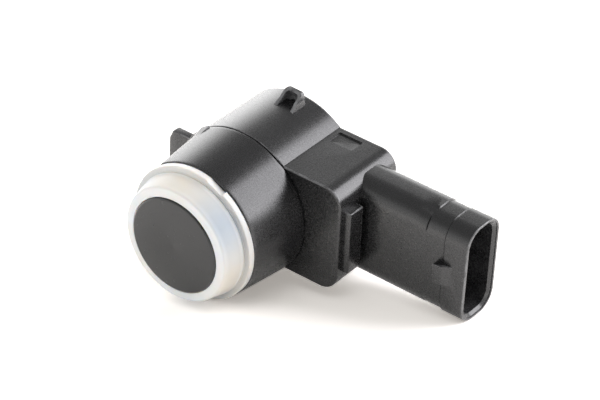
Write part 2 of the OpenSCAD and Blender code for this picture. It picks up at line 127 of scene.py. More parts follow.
# %% Read the sizes from the frame
def box_mm(node):
    """Lowest and highest corner of a node, in millimetres."""
    low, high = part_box(node)
    return np.array(low) / MM, np.array(high) / MM


house_low, house_high = box_mm("housing")
collar_low, collar_high = box_mm("front_collar")
ring_low, ring_high = box_mm("decoupling_ring")
pot_low, pot_high = box_mm("transducer_pot")
resin_high = box_mm("potting_fill")[1]
BOARD_Y = box_mm("circuit_board")[0][1]
SEAM_Y, REAR_Y, SPIGOT_Y = collar_high[1], house_high[1], house_low[1]
BEAD_Y = (SPIGOT_Y + SEAM_Y) / 2
MOUTH_X, TAB_X = house_high[0], house_low[0]
PLAY, LOOSE = 0.05, 0.1
CUP_WALL, SEAT_W, SPIGOT_STEP = 1.3, 0.9, 1.05
CHAMBER_R = resin_high[2] + PLAY
CUP_R, SEAT_R = CHAMBER_R + CUP_WALL, CHAMBER_R - SEAT_W
SPIGOT_R = CUP_R - SPIGOT_STEP
BLOCK = dict(reach=18.03, low=-8.5, high=9.25, corner=3.0, blend=0.3)
CHAMBER = dict(reach=resin_high[0] + PLAY, low=-7.1, high=7.85, corner=0.15, blend=0.3)
print("seam at y", round(SEAM_Y, 2), "rear rim at y", round(REAR_Y, 2), "mouth at x", round(MOUTH_X, 2))


# %% [markdown]
# ## Helpers: from a grid of points to a closed mesh
# Every new piece is a grid of points: one direction runs along a profile and the other round it. One function
# turns the grid into quads, with either direction closed on itself, and fills an open end with a fan. Another
# rounds the corners of an outline, which is what makes an edge catch the light.

# %% Grid and mesh helpers
SMOOTH_ANGLE, MERGE = np.radians(32), 1e-7


def grid_faces(rows, columns, wrap_rows):
    """Quads between neighbours in a grid whose columns close on themselves, and whose rows may do so too."""
    last = rows if wrap_rows else rows - 1
    i, j = np.meshgrid(np.arange(last), np.arange(columns), indexing="ij")
    up, across = (i + 1) % rows, (j + 1) % columns
    corners = [i * columns + j, i * columns + across, up * columns + across, up * columns + j]
    return np.stack(corners, -1).reshape(-1, 4)


def end_fan(first, columns, centre, flip):
    """Triangles from one row of the grid to a point in its middle."""
    j = np.arange(columns)
    ring = np.stack([first + j, first + (j + 1) % columns], -1)
    ring = ring if flip else ring[:, ::-1]
    return np.column_stack([ring, np.full(columns, centre)])


def clean(piece):
    """Merges doubles, turns the normals outwards and shades smoothly all that bends less than an angle."""
    work = bmesh.new()
    work.from_mesh(piece.data)
    bmesh.ops.remove_doubles(work, verts=work.verts, dist=MERGE)
    bmesh.ops.dissolve_degenerate(work, edges=work.edges, dist=MERGE)
    bmesh.ops.recalc_face_normals(work, faces=work.faces)
    work.to_mesh(piece.data)
    work.free()
    piece.data.shade_smooth()
    piece.data.set_sharp_from_angle(angle=SMOOTH_ANGLE)


def surface(name, grid, wrap_rows=False):
    """Mesh object from a grid of points in millimetres, with closed ends and faces that point outwards."""
    rows, columns = grid.shape[:2]
    points = grid.reshape(-1, 3)
    faces = grid_faces(rows, columns, wrap_rows).tolist()
    if not wrap_rows:
        points = np.vstack([points, grid[0].mean(0), grid[-1].mean(0)])
        faces += end_fan(0, columns, rows * columns, False).tolist()
        faces += end_fan((rows - 1) * columns, columns, rows * columns + 1, True).tolist()
    mesh = bpy.data.meshes.new(name)
    mesh.from_pydata((points * MM).tolist(), [], faces)
    piece = bpy.data.objects.new(name, mesh)
    bpy.context.scene.collection.objects.link(piece)
    clean(piece)
    return piece


print("an open grid of 3 by 8 points has", len(grid_faces(3, 8, False)), "quads")

# %% Outline helpers
ARC_STEPS, LEAST_RADIUS = 6, 1e-3
TURN = np.linspace(0, 2 * np.pi, 256, endpoint=False)
CLOSE = 0.004


def ease(t):
    """Smooth step from 0 to 1."""
    t = np.clip(t, 0, 1)
    return t * t * (3 - 2 * t)


def rounded(rows):
    """Closed outline from rows of two coordinates and a radius, with every corner replaced by an arc.

    At a corner the arc touches both sides at radius / tan(half the corner's angle) from it, its centre lies
    on the bisector, and its points swing from one touching point to the other by spherical interpolation.
    """
    rows = np.asarray(rows, float)
    corners, radii = rows[:, :2], np.maximum(rows[:, 2:], LEAST_RADIUS)
    back = unit(np.roll(corners, 1, 0) - corners)
    ahead = unit(np.roll(corners, -1, 0) - corners)
    half = np.arccos(np.clip((back * ahead).sum(1, keepdims=True), -1, 1)) / 2
    centre = corners + unit(back + ahead) * radii / np.sin(half)
    start = corners + back * radii / np.tan(half) - centre
    end = corners + ahead * radii / np.tan(half) - centre
    swing = (np.pi - 2 * half)[:, None]
    t = np.linspace(0, 1, ARC_STEPS)[None, :, None]
    arcs = (np.sin((1 - t) * swing) * start[:, None] + np.sin(t * swing) * end[:, None]) / np.sin(swing)
    return (centre[:, None] + arcs).reshape(-1, 2)


def rectangle(low, high, radius):
    """Rows for a rounded rectangle between two corners."""
    return [(*low, radius), (high[0], low[1], radius), (*high, radius), (low[0], high[1], radius)]


def lathe(profile, angles):
    """Surface of revolution about Y: a point of radius r and place y becomes (r cos a, y, r sin a)."""
    r, y = profile[:, :1], profile[:, 1:]
    return np.stack([r * np.cos(angles), y + 0 * angles, r * np.sin(angles)], -1)


def crowd(angles, places, count):
    """Angles with more of them set close about some places, so that a step there stays crisp."""
    more = [np.linspace(place - CLOSE, place + CLOSE, count) for place in places]
    return np.sort(np.concatenate([angles, *more]))


print("a rounded square has", len(rounded(rectangle((0, 0), (1, 1), 0.2))), "points")


# %% [markdown]
# ## Silicone ring
# The ring is a soft turned shape: a short cone in front, a flange that seats behind the bumper, and a groove
# inside that grips the metal pot. A lathe gives it exactly. The keying notch is a straight cut across the
# flange's edge, so each point's radius is held below the line of that cut.

# %% Turn the silicone ring
FLANGE_R, FLANGE_T = ring_high[2], collar_low[1]
NOSE_ROOT_R = FLANGE_R - 0.78
NOSE_FRONT_R, NOSE_FALL = NOSE_ROOT_R - 0.83, 0.25
LIP_R, LIP_Y, LIP_UNDER = NOSE_ROOT_R - 0.12, -0.3, 0.14
TAIL_R, TAIL_BORE_R = 9.7, 6.2
FOOT_R, FOOT_PROUD, FOOT_T = pot_high[2], 0.8, 1.2
BORE_R = FOOT_R - FOOT_PROUD
NOTCH_FROM, NOTCH_TO = np.radians([60, 77])
NOTCH_DEPTH, NOTCH_COLUMNS = 0.34, 9


def notch_limit(angles):
    """Largest radius at each angle: the chord of the cut within the notch, and no limit elsewhere."""
    inner = (FLANGE_R - NOTCH_DEPTH) * np.array([np.cos(NOTCH_FROM), np.sin(NOTCH_FROM)])
    outer = FLANGE_R * np.array([np.cos(NOTCH_TO), np.sin(NOTCH_TO)])
    normal = unit(np.array([inner[1] - outer[1], outer[0] - inner[0]]))
    chord = normal @ inner / (normal[0] * np.cos(angles) + normal[1] * np.sin(angles))
    return np.where((angles > NOTCH_FROM) & (angles < NOTCH_TO), np.abs(chord), np.inf)


def silicone_ring():
    """Lathe of the ring's closed section, with the notch cut by a limit on the radius.

    Each row of the section is a radius, a place along the axis and the rounding of that corner.
    """
    front, back = ring_low[1], ring_high[1]
    groove_r, groove_back, groove_front = FOOT_R + PLAY, pot_high[1] + PLAY, pot_high[1] - FOOT_T - PLAY
    profile = rounded([
        (BORE_R, front, 0.08), (NOSE_FRONT_R, front + NOSE_FALL, 0.4), (LIP_R, LIP_Y, 0.06),
        (LIP_R - LIP_UNDER, 0, 0.04), (FLANGE_R, 0, 0.16), (FLANGE_R, FLANGE_T, 0.1),
        (TAIL_R, FLANGE_T, 0.05), (TAIL_R, back, 0.1), (TAIL_BORE_R, back, 0.1),
        (TAIL_BORE_R, groove_back, 0.05), (groove_r, groove_back, 0.05), (groove_r, groove_front, 0.05),
        (BORE_R, groove_front, 0.05)])
    angles = crowd(TURN, (NOTCH_FROM, NOTCH_TO), NOTCH_COLUMNS)
    grid = lathe(profile, angles)
    r = np.hypot(grid[..., 0], grid[..., 2])
    grid[..., ::2] *= (np.minimum(r, notch_limit(angles)) / r)[..., None]
    return surface("silicone_ring", grid, wrap_rows=True)


ring = silicone_ring()
print("silicone ring:", len(ring.data.polygons), "faces")


# %% [markdown]
# ## Sensing face
# The dark face is the flat bottom of a drawn aluminium pot, painted, with a small radius at its edge. Its
# section starts and ends on the axis, so the lathe closes it by itself.

# %% Turn the pot
FACE_ROUND, MEMBRANE_T, POT_WALL = 0.35, 0.8, 1.2


def sensing_pot():
    """Lathe of the pot: face, wall, foot, and the hollow behind the membrane."""
    r = BORE_R - PLAY
    front, back = pot_low[1], pot_high[1]
    hollow_r, hollow_front = r - POT_WALL, front + MEMBRANE_T
    profile = rounded([
        (0, front, 0), (r, front, FACE_ROUND), (r, back - FOOT_T, 0.05), (FOOT_R, back - FOOT_T, 0.1),
        (FOOT_R, back, 0.1), (hollow_r, back, 0.1), (hollow_r, hollow_front, 0.1), (0, hollow_front, 0)])
    profile[:, 0] = np.maximum(profile[:, 0], 0)
    return surface("sensing_pot", lathe(profile, TURN), wrap_rows=True)


pot = sensing_pot()
print("sensing pot:", len(pot.data.polygons), "faces")


# %% [markdown]
# ## Collar
# The collar is a thin cone of black plastic that snaps over the housing's spigot. Its front edge is softly
# rounded, and its rear edge stops just short of the housing, which gives the fine dark seam. A low latch
# rises at one place on that edge, and the outside is flattened beside it. The section is turned first, and
# its outer rows are then moved in and out.

# %% Turn the collar
COLLAR_FRONT_R, COLLAR_REAR_R = FLANGE_R + 0.15, collar_high[2]
COLLAR_BORE_R, SHELF_BORE_R, SHELF_T = TAIL_R + LOOSE, 7.2, 1.1
SPIGOT_BORE_R, SNAP_DEPTH, SNAP_HALF = SPIGOT_R + LOOSE, 0.3, 0.45
LATCH_ANGLE, LATCH_HALF = np.radians([131, 10.5])
LATCH_LEN, LATCH_PROUD, LATCH_FLANK, LATCH_COLUMNS = 2.4, 0.3, 0.006, 7
FLAT_ANGLE, FLAT_HALF = np.radians([146, 18])
SEAM_W, SEAM_DEPTH, SEAM_SHUT = 0.3, 0.45, 0.17
SHUT_FROM_X, SHUT_OVER_X, SHUT_BEFORE_LIP, SHUT_OVER_Y = 6.5, 1.5, 0.5, 0.4
CONE_ROWS = 23
OUTSIDE_ROWS = slice(ARC_STEPS, 5 * ARC_STEPS + CONE_ROWS)
COLLAR_TURN = np.linspace(0, 2 * np.pi, 512, endpoint=False)
lip_y = SEAM_Y - SEAM_W


def collar_profile():
    """Closed section: cone, seam, socket with a groove for the bead, and a shelf; the cone gets more rows."""
    groove_r, shelf, stop = COLLAR_REAR_R - SEAM_DEPTH, ring_high[1], SPIGOT_Y - LOOSE
    profile = rounded([
        (COLLAR_BORE_R, FLANGE_T, 0.1), (COLLAR_FRONT_R, FLANGE_T, 0.17), (COLLAR_REAR_R, lip_y, 0.08),
        (groove_r, lip_y, 0.04), (groove_r, SEAM_Y, 0.04), (SPIGOT_BORE_R, SEAM_Y, 0.05),
        (SPIGOT_BORE_R, BEAD_Y + SNAP_HALF, 0.05), (SPIGOT_BORE_R + SNAP_DEPTH, BEAD_Y, 0.05),
        (SPIGOT_BORE_R, BEAD_Y - SNAP_HALF, 0.05), (SPIGOT_BORE_R, stop, 0.05), (COLLAR_BORE_R, stop, 0.05),
        (COLLAR_BORE_R, shelf + SHELF_T, 0.05), (SHELF_BORE_R, shelf + SHELF_T, 0.1),
        (SHELF_BORE_R, shelf, 0.1), (COLLAR_BORE_R, shelf, 0.05)])
    before, after = profile[:2 * ARC_STEPS], profile[2 * ARC_STEPS:]
    share = np.linspace(0, 1, CONE_ROWS + 2)[1:-1, None]
    return np.vstack([before, before[-1] + share * (after[0] - before[-1]), after])


def collar():
    """Lathe of the collar's section, then its flat, its latch and its seam.

    On the flat the radius is scaled by the cosine of the flat's half angle over the cosine of the angle from
    its middle, which is a chord. The latch adds to the radius towards the rear edge. Where the collar stands
    against the block the seam is nearly shut: its front side moves back with x.
    """
    latch_sides = LATCH_ANGLE - LATCH_HALF, LATCH_ANGLE + LATCH_HALF
    grid = lathe(collar_profile(), crowd(COLLAR_TURN, latch_sides, LATCH_COLUMNS))
    x, y, z = np.moveaxis(grid, -1, 0).copy()
    r, angle = np.hypot(x, z), np.arctan2(z, x)
    off = angle - FLAT_ANGLE
    chord = np.where(np.abs(off) < FLAT_HALF, np.cos(FLAT_HALF) / np.cos(off), 1)
    on_latch = ease((LATCH_HALF - np.abs(angle - LATCH_ANGLE)) / LATCH_FLANK + 0.5)
    rise = LATCH_PROUD * on_latch * np.clip((y - SEAM_Y + LATCH_LEN) / LATCH_LEN, 0, 1)
    grid[OUTSIDE_ROWS, :, ::2] *= (chord * (1 + rise / r))[OUTSIDE_ROWS, :, None]
    shut = ease((x - SHUT_FROM_X) / SHUT_OVER_X) * ease((y - lip_y + SHUT_BEFORE_LIP) / SHUT_OVER_Y)
    front_side = (y < SEAM_Y - LOOSE) & (r > SPIGOT_BORE_R + PLAY)
    grid[..., 1] += np.where(front_side, SEAM_SHUT * shut, 0)
    return surface("collar", grid, wrap_rows=True)


collar_piece = collar()
print("collar:", len(collar_piece.data.polygons), "faces")


# %% [markdown]
# ## Housing
# The housing is one moulding. Seen along the sensing axis its outline is a keyhole: a circle for the cup and
# a square for the block, blended where they meet. The same keyhole, drawn smaller, is the chamber that the
# resin fills, so one function with an inset gives every ring of the surface: the spigot in front, the outer
# wall with its rounded edges, the rear rim, the chamber and the seat. The rings close on themselves both
# ways.

# %% The keyhole outline
CUP_POINTS, BLEND_POINTS, CORNER_POINTS = 220, 8, 14
LEAST_CORNER = 0.05


def arc(centre, radius, start, end, count):
    """Points of an arc about a centre, from a start angle to an end angle."""
    a = np.linspace(start, end, count)
    return np.stack([centre[0] + radius * np.cos(a), centre[1] + radius * np.sin(a)], -1)


def keyhole(r, inset=0.0, *, reach, low, high, corner, blend):
    """Closed outline of a circle joined to a square, drawn in by an inset.

    The blend is an arc tangent to the circle and to the square's top or bottom, on the outside of both. Its
    centre lies at the sum of both radii from the axis and one blend radius beyond the flat side.
    """
    r, reach, low, high = r - inset, reach - inset, low + inset, high - inset
    corner, blend = max(corner - inset, LEAST_CORNER), blend + inset
    top = np.array([np.sqrt((r + blend) ** 2 - (high + blend) ** 2), high + blend])
    foot = np.array([np.sqrt((r + blend) ** 2 - (low - blend) ** 2), low - blend])
    a_top, a_foot = np.arctan2(top[1], top[0]), np.arctan2(foot[1], foot[0])
    edge = reach - corner
    return np.vstack([
        arc((0, 0), r, a_top, 2 * np.pi + a_foot, CUP_POINTS),
        arc(foot, blend, np.pi + a_foot, np.pi / 2, BLEND_POINTS)[1:],
        arc((edge, low + corner), corner, -np.pi / 2, 0, CORNER_POINTS),
        arc((edge, high - corner), corner, 0, np.pi / 2, CORNER_POINTS),
        arc(top, blend, 3 * np.pi / 2, np.pi + a_top, BLEND_POINTS)[:-1]])


def stand(outline, y):
    """Outline in X and Z, stood at a place along the sensing axis, or with a place for each point."""
    return np.stack([outline[:, 0], np.broadcast_to(y, len(outline)), outline[:, 1]], -1)


print("the block meets the cup at", np.round(keyhole(CUP_R, **BLOCK)[-1], 2))

# %% Cup, block and spigot in one closed surface
FRONT_EDGE, REAR_EDGE, RIM_EDGE, BESIDE = 0.28, 0.5, 0.2, 0.06
CUP_SHARE, BLOCK_FROM, BLOCK_OVER = 0.45, 5, 3
SPIGOT_EDGE, BEAD_RISE, BEAD_HALF = 0.25, 0.25, 0.35


def edge_arc(radius):
    """Two columns, inset and depth, of a quarter circle from the end face (depth 0) to the wall (inset 0)."""
    a = np.linspace(0, np.pi / 2, ARC_STEPS)
    return np.stack([radius * (1 - np.sin(a)), radius * (1 - np.cos(a))], -1)


def cup_and_block():
    """Keyhole rings from the spigot over the outer wall and the rear rim into the chamber and the seat.

    The front edge is finer on the cup, where it closes the seam, than on the block: its arc is scaled by a
    share that grows with x. A ring just beside each rounded edge keeps the flat walls flat when they are
    shaded smoothly.
    """
    outer = keyhole(CUP_R, **BLOCK)
    angle = np.arctan2(outer[:, 1], outer[:, 0])
    share = CUP_SHARE + (1 - CUP_SHARE) * ease((outer[:, 0] - BLOCK_FROM) / BLOCK_OVER)
    spigot = [
        (SEAT_R, SPIGOT_Y), (SPIGOT_R - SPIGOT_EDGE, SPIGOT_Y), (SPIGOT_R, SPIGOT_Y + SPIGOT_EDGE),
        (SPIGOT_R, BEAD_Y - BEAD_HALF), (SPIGOT_R + BEAD_RISE, BEAD_Y), (SPIGOT_R, BEAD_Y + BEAD_HALF),
        (SPIGOT_R, SEAM_Y)]

    def circle(r, y):
        return stand(np.stack([r * np.cos(angle), r * np.sin(angle)], -1), y)

    rings = [circle(r, y) for r, y in spigot]
    for inset, depth in [(FRONT_EDGE + BESIDE, 0), *edge_arc(FRONT_EDGE), (0, FRONT_EDGE + BESIDE)]:
        drawn_in = keyhole(CUP_R, inset, **BLOCK) - outer
        rings += [stand(outer + share[:, None] * drawn_in, SEAM_Y + share * depth)]
    rings += [stand(outer, REAR_Y - REAR_EDGE - BESIDE)]
    rings += [stand(keyhole(CUP_R, i, **BLOCK), REAR_Y - d) for i, d in edge_arc(REAR_EDGE)[::-1]]
    rings += [stand(keyhole(CHAMBER_R, -i, **CHAMBER), REAR_Y - d) for i, d in edge_arc(RIM_EDGE)]
    rings += [stand(keyhole(CHAMBER_R, **CHAMBER), BOARD_Y), circle(SEAT_R, BOARD_Y)]
    return surface("housing_shell", np.stack(rings), wrap_rows=True)


housing = cup_and_block()
print("cup and block:", len(housing.data.polygons), "faces")

# %% [markdown]
# The connector's shroud is a rounded rectangle carried along X. Each section has its own width, height,
# corner radius and middle: a shallow relief lies behind the band, the band at the mouth is wider and lower,
# and inside the mouth a taper leads into the socket, which ends on its floor.

# %% Sections of the shroud
SHROUD_Y = REAR_Y - 5.25
SHROUD = dict(z=0.425, half=np.array([7.75, 16.55]) / 2, corner=3.0)
RELIEF = dict(z=0.36, half=np.array([7.75, 16.22]) / 2, corner=3.0)
BAND = dict(z=0.315, half=np.array([8.05, 16.33]) / 2, corner=3.0)
SOCKET = dict(z=0.315, half=np.array([5.95, 14.53]) / 2, corner=2.1)
BAND_X = MOUTH_X - 3.9
RELIEF_X, RELIEF_SLOPE = BAND_X - 3.1, 0.13
UPPER_CORNER = slice(CORNER_POINTS + 1, 2 * CORNER_POINTS)
CORNER_FALL, CORNER_FALL_OVER = 3, 2.8
FALL_STEPS, SLIT_STEPS = np.array([3, 2.5, 2, 1.5, 1, 0.38]), np.array([0.34, 0.2])
SLIT_DEPTH, SLIT_FROM, SLIT_TO, SLIT_FADE = 0.2, 4, 58, 12
corner_angle = np.linspace(90, 0, CORNER_POINTS)[1:, None]
SLIT_SHARE = ease((corner_angle - SLIT_FROM) / SLIT_FADE) * ease((SLIT_TO - corner_angle) / SLIT_FADE)


def rounded_rectangle(half_w, half_h, corner):
    """Closed outline of four arcs about the corners' middles; the straight sides lie between them."""
    middle = np.array([half_w - corner, half_h - corner])
    signs = [(1, 1), (-1, 1), (-1, -1), (1, -1)]
    quarter = np.pi / 2
    return np.vstack([arc(middle * sign, corner, k * quarter, (k + 1) * quarter, CORNER_POINTS)
                      for k, sign in enumerate(signs)])


def section(x, z, half, corner, grow=0.0):
    """One section of the shroud: the rectangle grown on all sides, at a place along X."""
    outline = rounded_rectangle(half[0] + grow, half[1] + grow, corner + grow)
    return np.stack([np.full(len(outline), x), SHROUD_Y + outline[:, 0], z + outline[:, 1]], -1)


def before_relief(x, depth=0.0):
    """Section before the relief, with a slit of some depth on its upper front corner.

    That corner runs gently into the relief, so that the step shows on the top alone.
    """
    run, low, deep = section(x, **SHROUD), section(x, **RELIEF), section(x, **RELIEF, grow=-depth)
    run[UPPER_CORNER] += ease((x - RELIEF_X + CORNER_FALL) / CORNER_FALL_OVER) * (low - run)[UPPER_CORNER]
    run[UPPER_CORNER] += SLIT_SHARE * (deep - low)[UPPER_CORNER]
    return run


print("one section has", len(section(RELIEF_X, **SHROUD)), "points")

# %% Carry the shroud along X
SUNK = 1.2
GROOVE, BESIDE_LINE = 0.13, 0.08
BAND_EDGE, MOUTH_EDGE, MOUTH_FLAT, STEP_EDGE = 0.07, 0.17, 0.3, 0.06
STEP_IN, STEP_DEPTH = 0.58, 0.15
LEAD_IN, LEAD_IN_DEPTH = 0.4, 0.55
SOCKET_DEPTH, FLOOR_EDGE, FLOOR_MID = 14.4, 0.3, 0.08


def shroud():
    """Sections of the shroud from inside the block to the mouth and back to the socket's floor.

    The step down to the relief and the fine groove in front of the band slope towards the mouth, so they
    shine as thin lines on the top.
    """
    floor_x = MOUTH_X - SOCKET_DEPTH
    groove_x = BAND_X - GROOVE
    relief_runs = RELIEF_X, RELIEF_X + BESIDE_LINE, groove_x - BESIDE_LINE, groove_x
    runs = [before_relief(x) for x in (BLOCK["reach"] - SUNK, *(RELIEF_X - FALL_STEPS))]
    runs += [before_relief(x, SLIT_DEPTH) for x in RELIEF_X - SLIT_STEPS]
    runs += [before_relief(RELIEF_X - RELIEF_SLOPE)]
    runs += [section(x, **RELIEF) for x in relief_runs]
    runs += [section(BAND_X, **RELIEF, grow=-GROOVE)]
    runs += [section(BAND_X + d, **BAND, grow=-i) for i, d in edge_arc(BAND_EDGE)]
    runs += [section(x, **BAND) for x in (BAND_X + BAND_EDGE + BESIDE_LINE, MOUTH_X - MOUTH_FLAT)]
    runs += [section(MOUTH_X - d, **BAND, grow=-i) for i, d in edge_arc(MOUTH_EDGE)[::-1]]
    runs += [section(MOUTH_X - d, **SOCKET, grow=STEP_IN + i) for i, d in edge_arc(STEP_EDGE)]
    runs += [section(MOUTH_X - STEP_DEPTH, **SOCKET, grow=grow) for grow in (STEP_IN, LEAD_IN)]
    runs += [section(x, **SOCKET) for x in (MOUTH_X - LEAD_IN_DEPTH, floor_x + FLOOR_EDGE)]
    runs += [section(floor_x + FLOOR_MID, **SOCKET, grow=-FLOOR_MID)]
    runs += [section(floor_x, **SOCKET, grow=-FLOOR_EDGE)]
    return surface("shroud", np.stack(runs))


shroud_piece = shroud()
print("shroud:", len(shroud_piece.data.polygons), "faces")

# %% [markdown]
# The rib, the locking nose, the side tab and the clip ramps are prisms with soft edges: an outline with
# rounded corners, carried along one axis, and drawn in a little at both ends. One function makes them all.

# %% Prisms with soft edges
def prism(name, rows, start, end, soft, place):
    """Outline carried from start to end; near each end it is drawn in along a quarter circle.

    The drawing in moves each point towards the outline's middle, by the same share as the soft radius has of
    the outline's size on that axis. place turns outline points and a depth into points in space.
    """
    outline = rounded(rows)
    middle = (outline.max(0) + outline.min(0)) / 2
    half = (outline.max(0) - outline.min(0)) / 2
    edge = edge_arc(soft)
    levels = np.vstack([edge + [0, start], (edge * [1, -1] + [0, end])[::-1]])
    shrunk = middle + (outline - middle)[None] * (1 - levels[:, :1, None] / half)
    depth = np.broadcast_to(levels[:, 1:], shrunk.shape[:2])
    return surface(name, place(shrunk[..., 0], shrunk[..., 1], depth))


def along(axis):
    """Outline in the two other axes, in their order, and depth along this one."""
    def place(first, second, depth):
        points = [first, second]
        points.insert(axis, depth)
        return np.stack(points, -1)
    return place


def turned(angle):
    """Outline across and up, depth along Y, then turned about the sensing axis to stand at an angle."""
    def place(across, height, y):
        c, s = np.cos(angle), np.sin(angle)
        return np.stack([height * c + across * s, y, height * s - across * c], -1)
    return place


print("a prism has", 2 * ARC_STEPS, "rows of points")

# %% Rib, side tab and locking nose
RIB_FRONT, RIB_W, RIB_H, RIB_PROUD, RIB_ROOT, RIB_EDGE = SEAM_Y + 1, 3.0, 10.6, 1.2, 0.7, 0.2
rib_z = (BLOCK["low"] + BLOCK["high"]) / 2
rib = prism(
    "rib", rectangle((RIB_FRONT, rib_z - RIB_H / 2), (RIB_FRONT + RIB_W, rib_z + RIB_H / 2), RIB_EDGE),
    BLOCK["reach"] - RIB_ROOT, BLOCK["reach"] + RIB_PROUD, RIB_EDGE, along(0))

TAB_FRONT, TAB_T, TAB_HALF, TAB_EDGE = SEAM_Y + 1.9, 1.4, 4.65, 0.15
TAB_ROOT_X, TAB_SIDE_X, TAB_FLAT = 1 - CUP_R, TAB_X + 0.65, TAB_HALF - 1.5
tab = prism(
    "side_tab",
    [(TAB_ROOT_X, -TAB_HALF, 0.1), (TAB_SIDE_X, -TAB_HALF, 0.3), (TAB_X, -TAB_FLAT, 0.3),
     (TAB_X, TAB_FLAT, 0.3), (TAB_SIDE_X, TAB_HALF, 0.3), (TAB_ROOT_X, TAB_HALF, 0.1)],
    TAB_FRONT, TAB_FRONT + TAB_T, TAB_EDGE, along(1))

NOSE_BACK, NOSE_H, NOSE_SHORT, NOSE_EDGE, NOSE_LEAN = MOUTH_X - 5, 3.7, 0.28, 0.12, 0.3
NOSE_SHAPE = np.array([
    (0, 0.5, 0.05), (0, -1.37, 0.12), (1.42, -1.06, 0.6), (2.2, -0.56, 0.6), (2.9, 0, 0.1), (2.9, 0.5, 0.05)])
wall_y = SHROUD_Y - SHROUD["half"][0]


def leaning(x, y, z):
    """Outline in X and Y, depth along Z; what stands out of the wall gets lower towards the lower end."""
    height = np.clip((z - SOCKET["z"]) / NOSE_H + 0.5, 0, 1)
    proud = 1 - NOSE_LEAN + NOSE_LEAN * height
    return np.stack([x, wall_y + (y - wall_y) * np.where(y < wall_y, proud, 1), z], -1)


nose = prism(
    "locking_nose", NOSE_SHAPE + [NOSE_BACK, wall_y, 0],
    SOCKET["z"] - NOSE_H / 2, SOCKET["z"] + NOSE_H / 2 - NOSE_SHORT, NOSE_EDGE, leaning)
print("rib, tab and nose:", [len(p.data.polygons) for p in (rib, tab, nose)], "faces")

# %% [markdown]
# A clip ramp is an arch cut to a wedge: two legs rise from the cup along a slope, and a crest joins them at
# the rear. The arch, its hollow and what lies in front of the slope are three prisms, and the last two are
# cut out of the first. Two ramps stand on opposite sides of the cup.

# %% Clip ramps
RAMP_H, RAMP_W, RAMP_LEN, RAMP_CREST, RAMP_SIDE, RAMP_ROOF = 2.05, 3.1, 2.85, 0.5, 0.42, 0.28
RAMP_ANGLE, RAMP_ROUND, RAMP_FLARE, HOLLOW_FLARE = np.radians(88), 0.5, 0.4, 0.15
LEG_UPRIGHT_R, LEG_ROUND, RAMP_EDGE, HOLLOW_EDGE, CUT_EDGE = CUP_R + 0.8, 0.6, 0.1, 0.05, 0.02
TOE_SPARE, HOLLOW_SPARE, SLOPE_BELOW, SLOPE_ABOVE, SLOPE_FRONT = 0.3, 1, 0.6, 0.4, 1
ramp_back = REAR_Y - 2.1
ramp_toe = ramp_back - RAMP_LEN
ramp_root, ramp_top = CUP_R - 0.65, CUP_R + RAMP_H


def combine(base, others, operation):
    """Gives the base the mesh of its exact boolean with each of the others, and deletes those."""
    for other in others:
        step = base.modifiers.new(other.name, "BOOLEAN")
        step.operation = operation
        step.solver = "EXACT"
        step.object = other
    graph = bpy.context.evaluated_depsgraph_get()
    made = bpy.data.meshes.new_from_object(base.evaluated_get(graph))
    base.modifiers.clear()
    base.data = made
    for other in others:
        bpy.data.objects.remove(other)


def arch(name, half, top, start, end, flare, soft, angle):
    """Arch seen along the axis: upright legs that flare at their foot, and rounded upper corners."""
    leg = [(half + flare, ramp_root, CUT_EDGE), (half, LEG_UPRIGHT_R, LEG_ROUND), (half, top, RAMP_ROUND)]
    other_leg = [(-across, height, radius) for across, height, radius in leg[::-1]]
    return prism(name, leg + other_leg, start, end, soft, turned(angle))


def above_slope(name, angle):
    """Everything in front of the slope from the toe on the cup to the crest, as a prism across the ramp."""
    toe, crest = np.array([ramp_toe, CUP_R]), np.array([ramp_back - RAMP_CREST, ramp_top])
    low, high = toe - SLOPE_BELOW * (crest - toe), crest + SLOPE_ABOVE * (crest - toe)
    front = low[0] - SLOPE_FRONT
    rows = [(*low, CUT_EDGE), (*high, CUT_EDGE), (front, high[1], CUT_EDGE), (front, low[1], CUT_EDGE)]

    def crosswise(y, height, across):
        return turned(angle)(across, height, y)

    return prism(name, rows, -RAMP_W, RAMP_W, CUT_EDGE / 2, crosswise)


def clip_ramp(name, angle):
    """One ramp: the arch, less its hollow below the crest and what lies in front of the slope."""
    half = RAMP_W / 2
    whole = arch(name, half, ramp_top, ramp_toe - TOE_SPARE, ramp_back, RAMP_FLARE, RAMP_EDGE, angle)
    hollow = arch(name + "_hollow", half - RAMP_SIDE, ramp_top - RAMP_ROOF, ramp_toe - HOLLOW_SPARE,
                  ramp_back - RAMP_CREST, HOLLOW_FLARE, HOLLOW_EDGE, angle)
    combine(whole, [hollow, above_slope(name + "_front", angle)], "DIFFERENCE")
    return whole


ramps = [clip_ramp("upper_ramp", RAMP_ANGLE), clip_ramp("lower_ramp", RAMP_ANGLE + np.pi)]
print("two ramps:", [len(r.data.polygons) for r in ramps], "faces")

# %% [markdown]
# The pieces of the moulding are closed surfaces that run into each other. A boolean joins them into one skin,
# as the plastic is, so that no wall is left inside another. The bodies are added first, and the shallow field
# on top of the block is cut last.

# %% Join the moulding
FIELD_MIDDLE, FIELD_HALF = np.array([10.35, REAR_Y - 2.75]), np.array([2.1, 1.4])
FIELD_DEPTH, FIELD_ROUND, FIELD_EDGE = 0.25, 0.15, 0.05
field = prism(
    "top_field", rectangle(FIELD_MIDDLE - FIELD_HALF, FIELD_MIDDLE + FIELD_HALF, FIELD_ROUND),
    BLOCK["high"] - FIELD_DEPTH, BLOCK["high"] + 1, FIELD_EDGE, along(2))
combine(housing, [shroud_piece, rib, tab, nose, *ramps], "UNION")
combine(housing, [field], "DIFFERENCE")
clean(housing)
print("housing as one moulding:", len(housing.data.polygons), "faces")

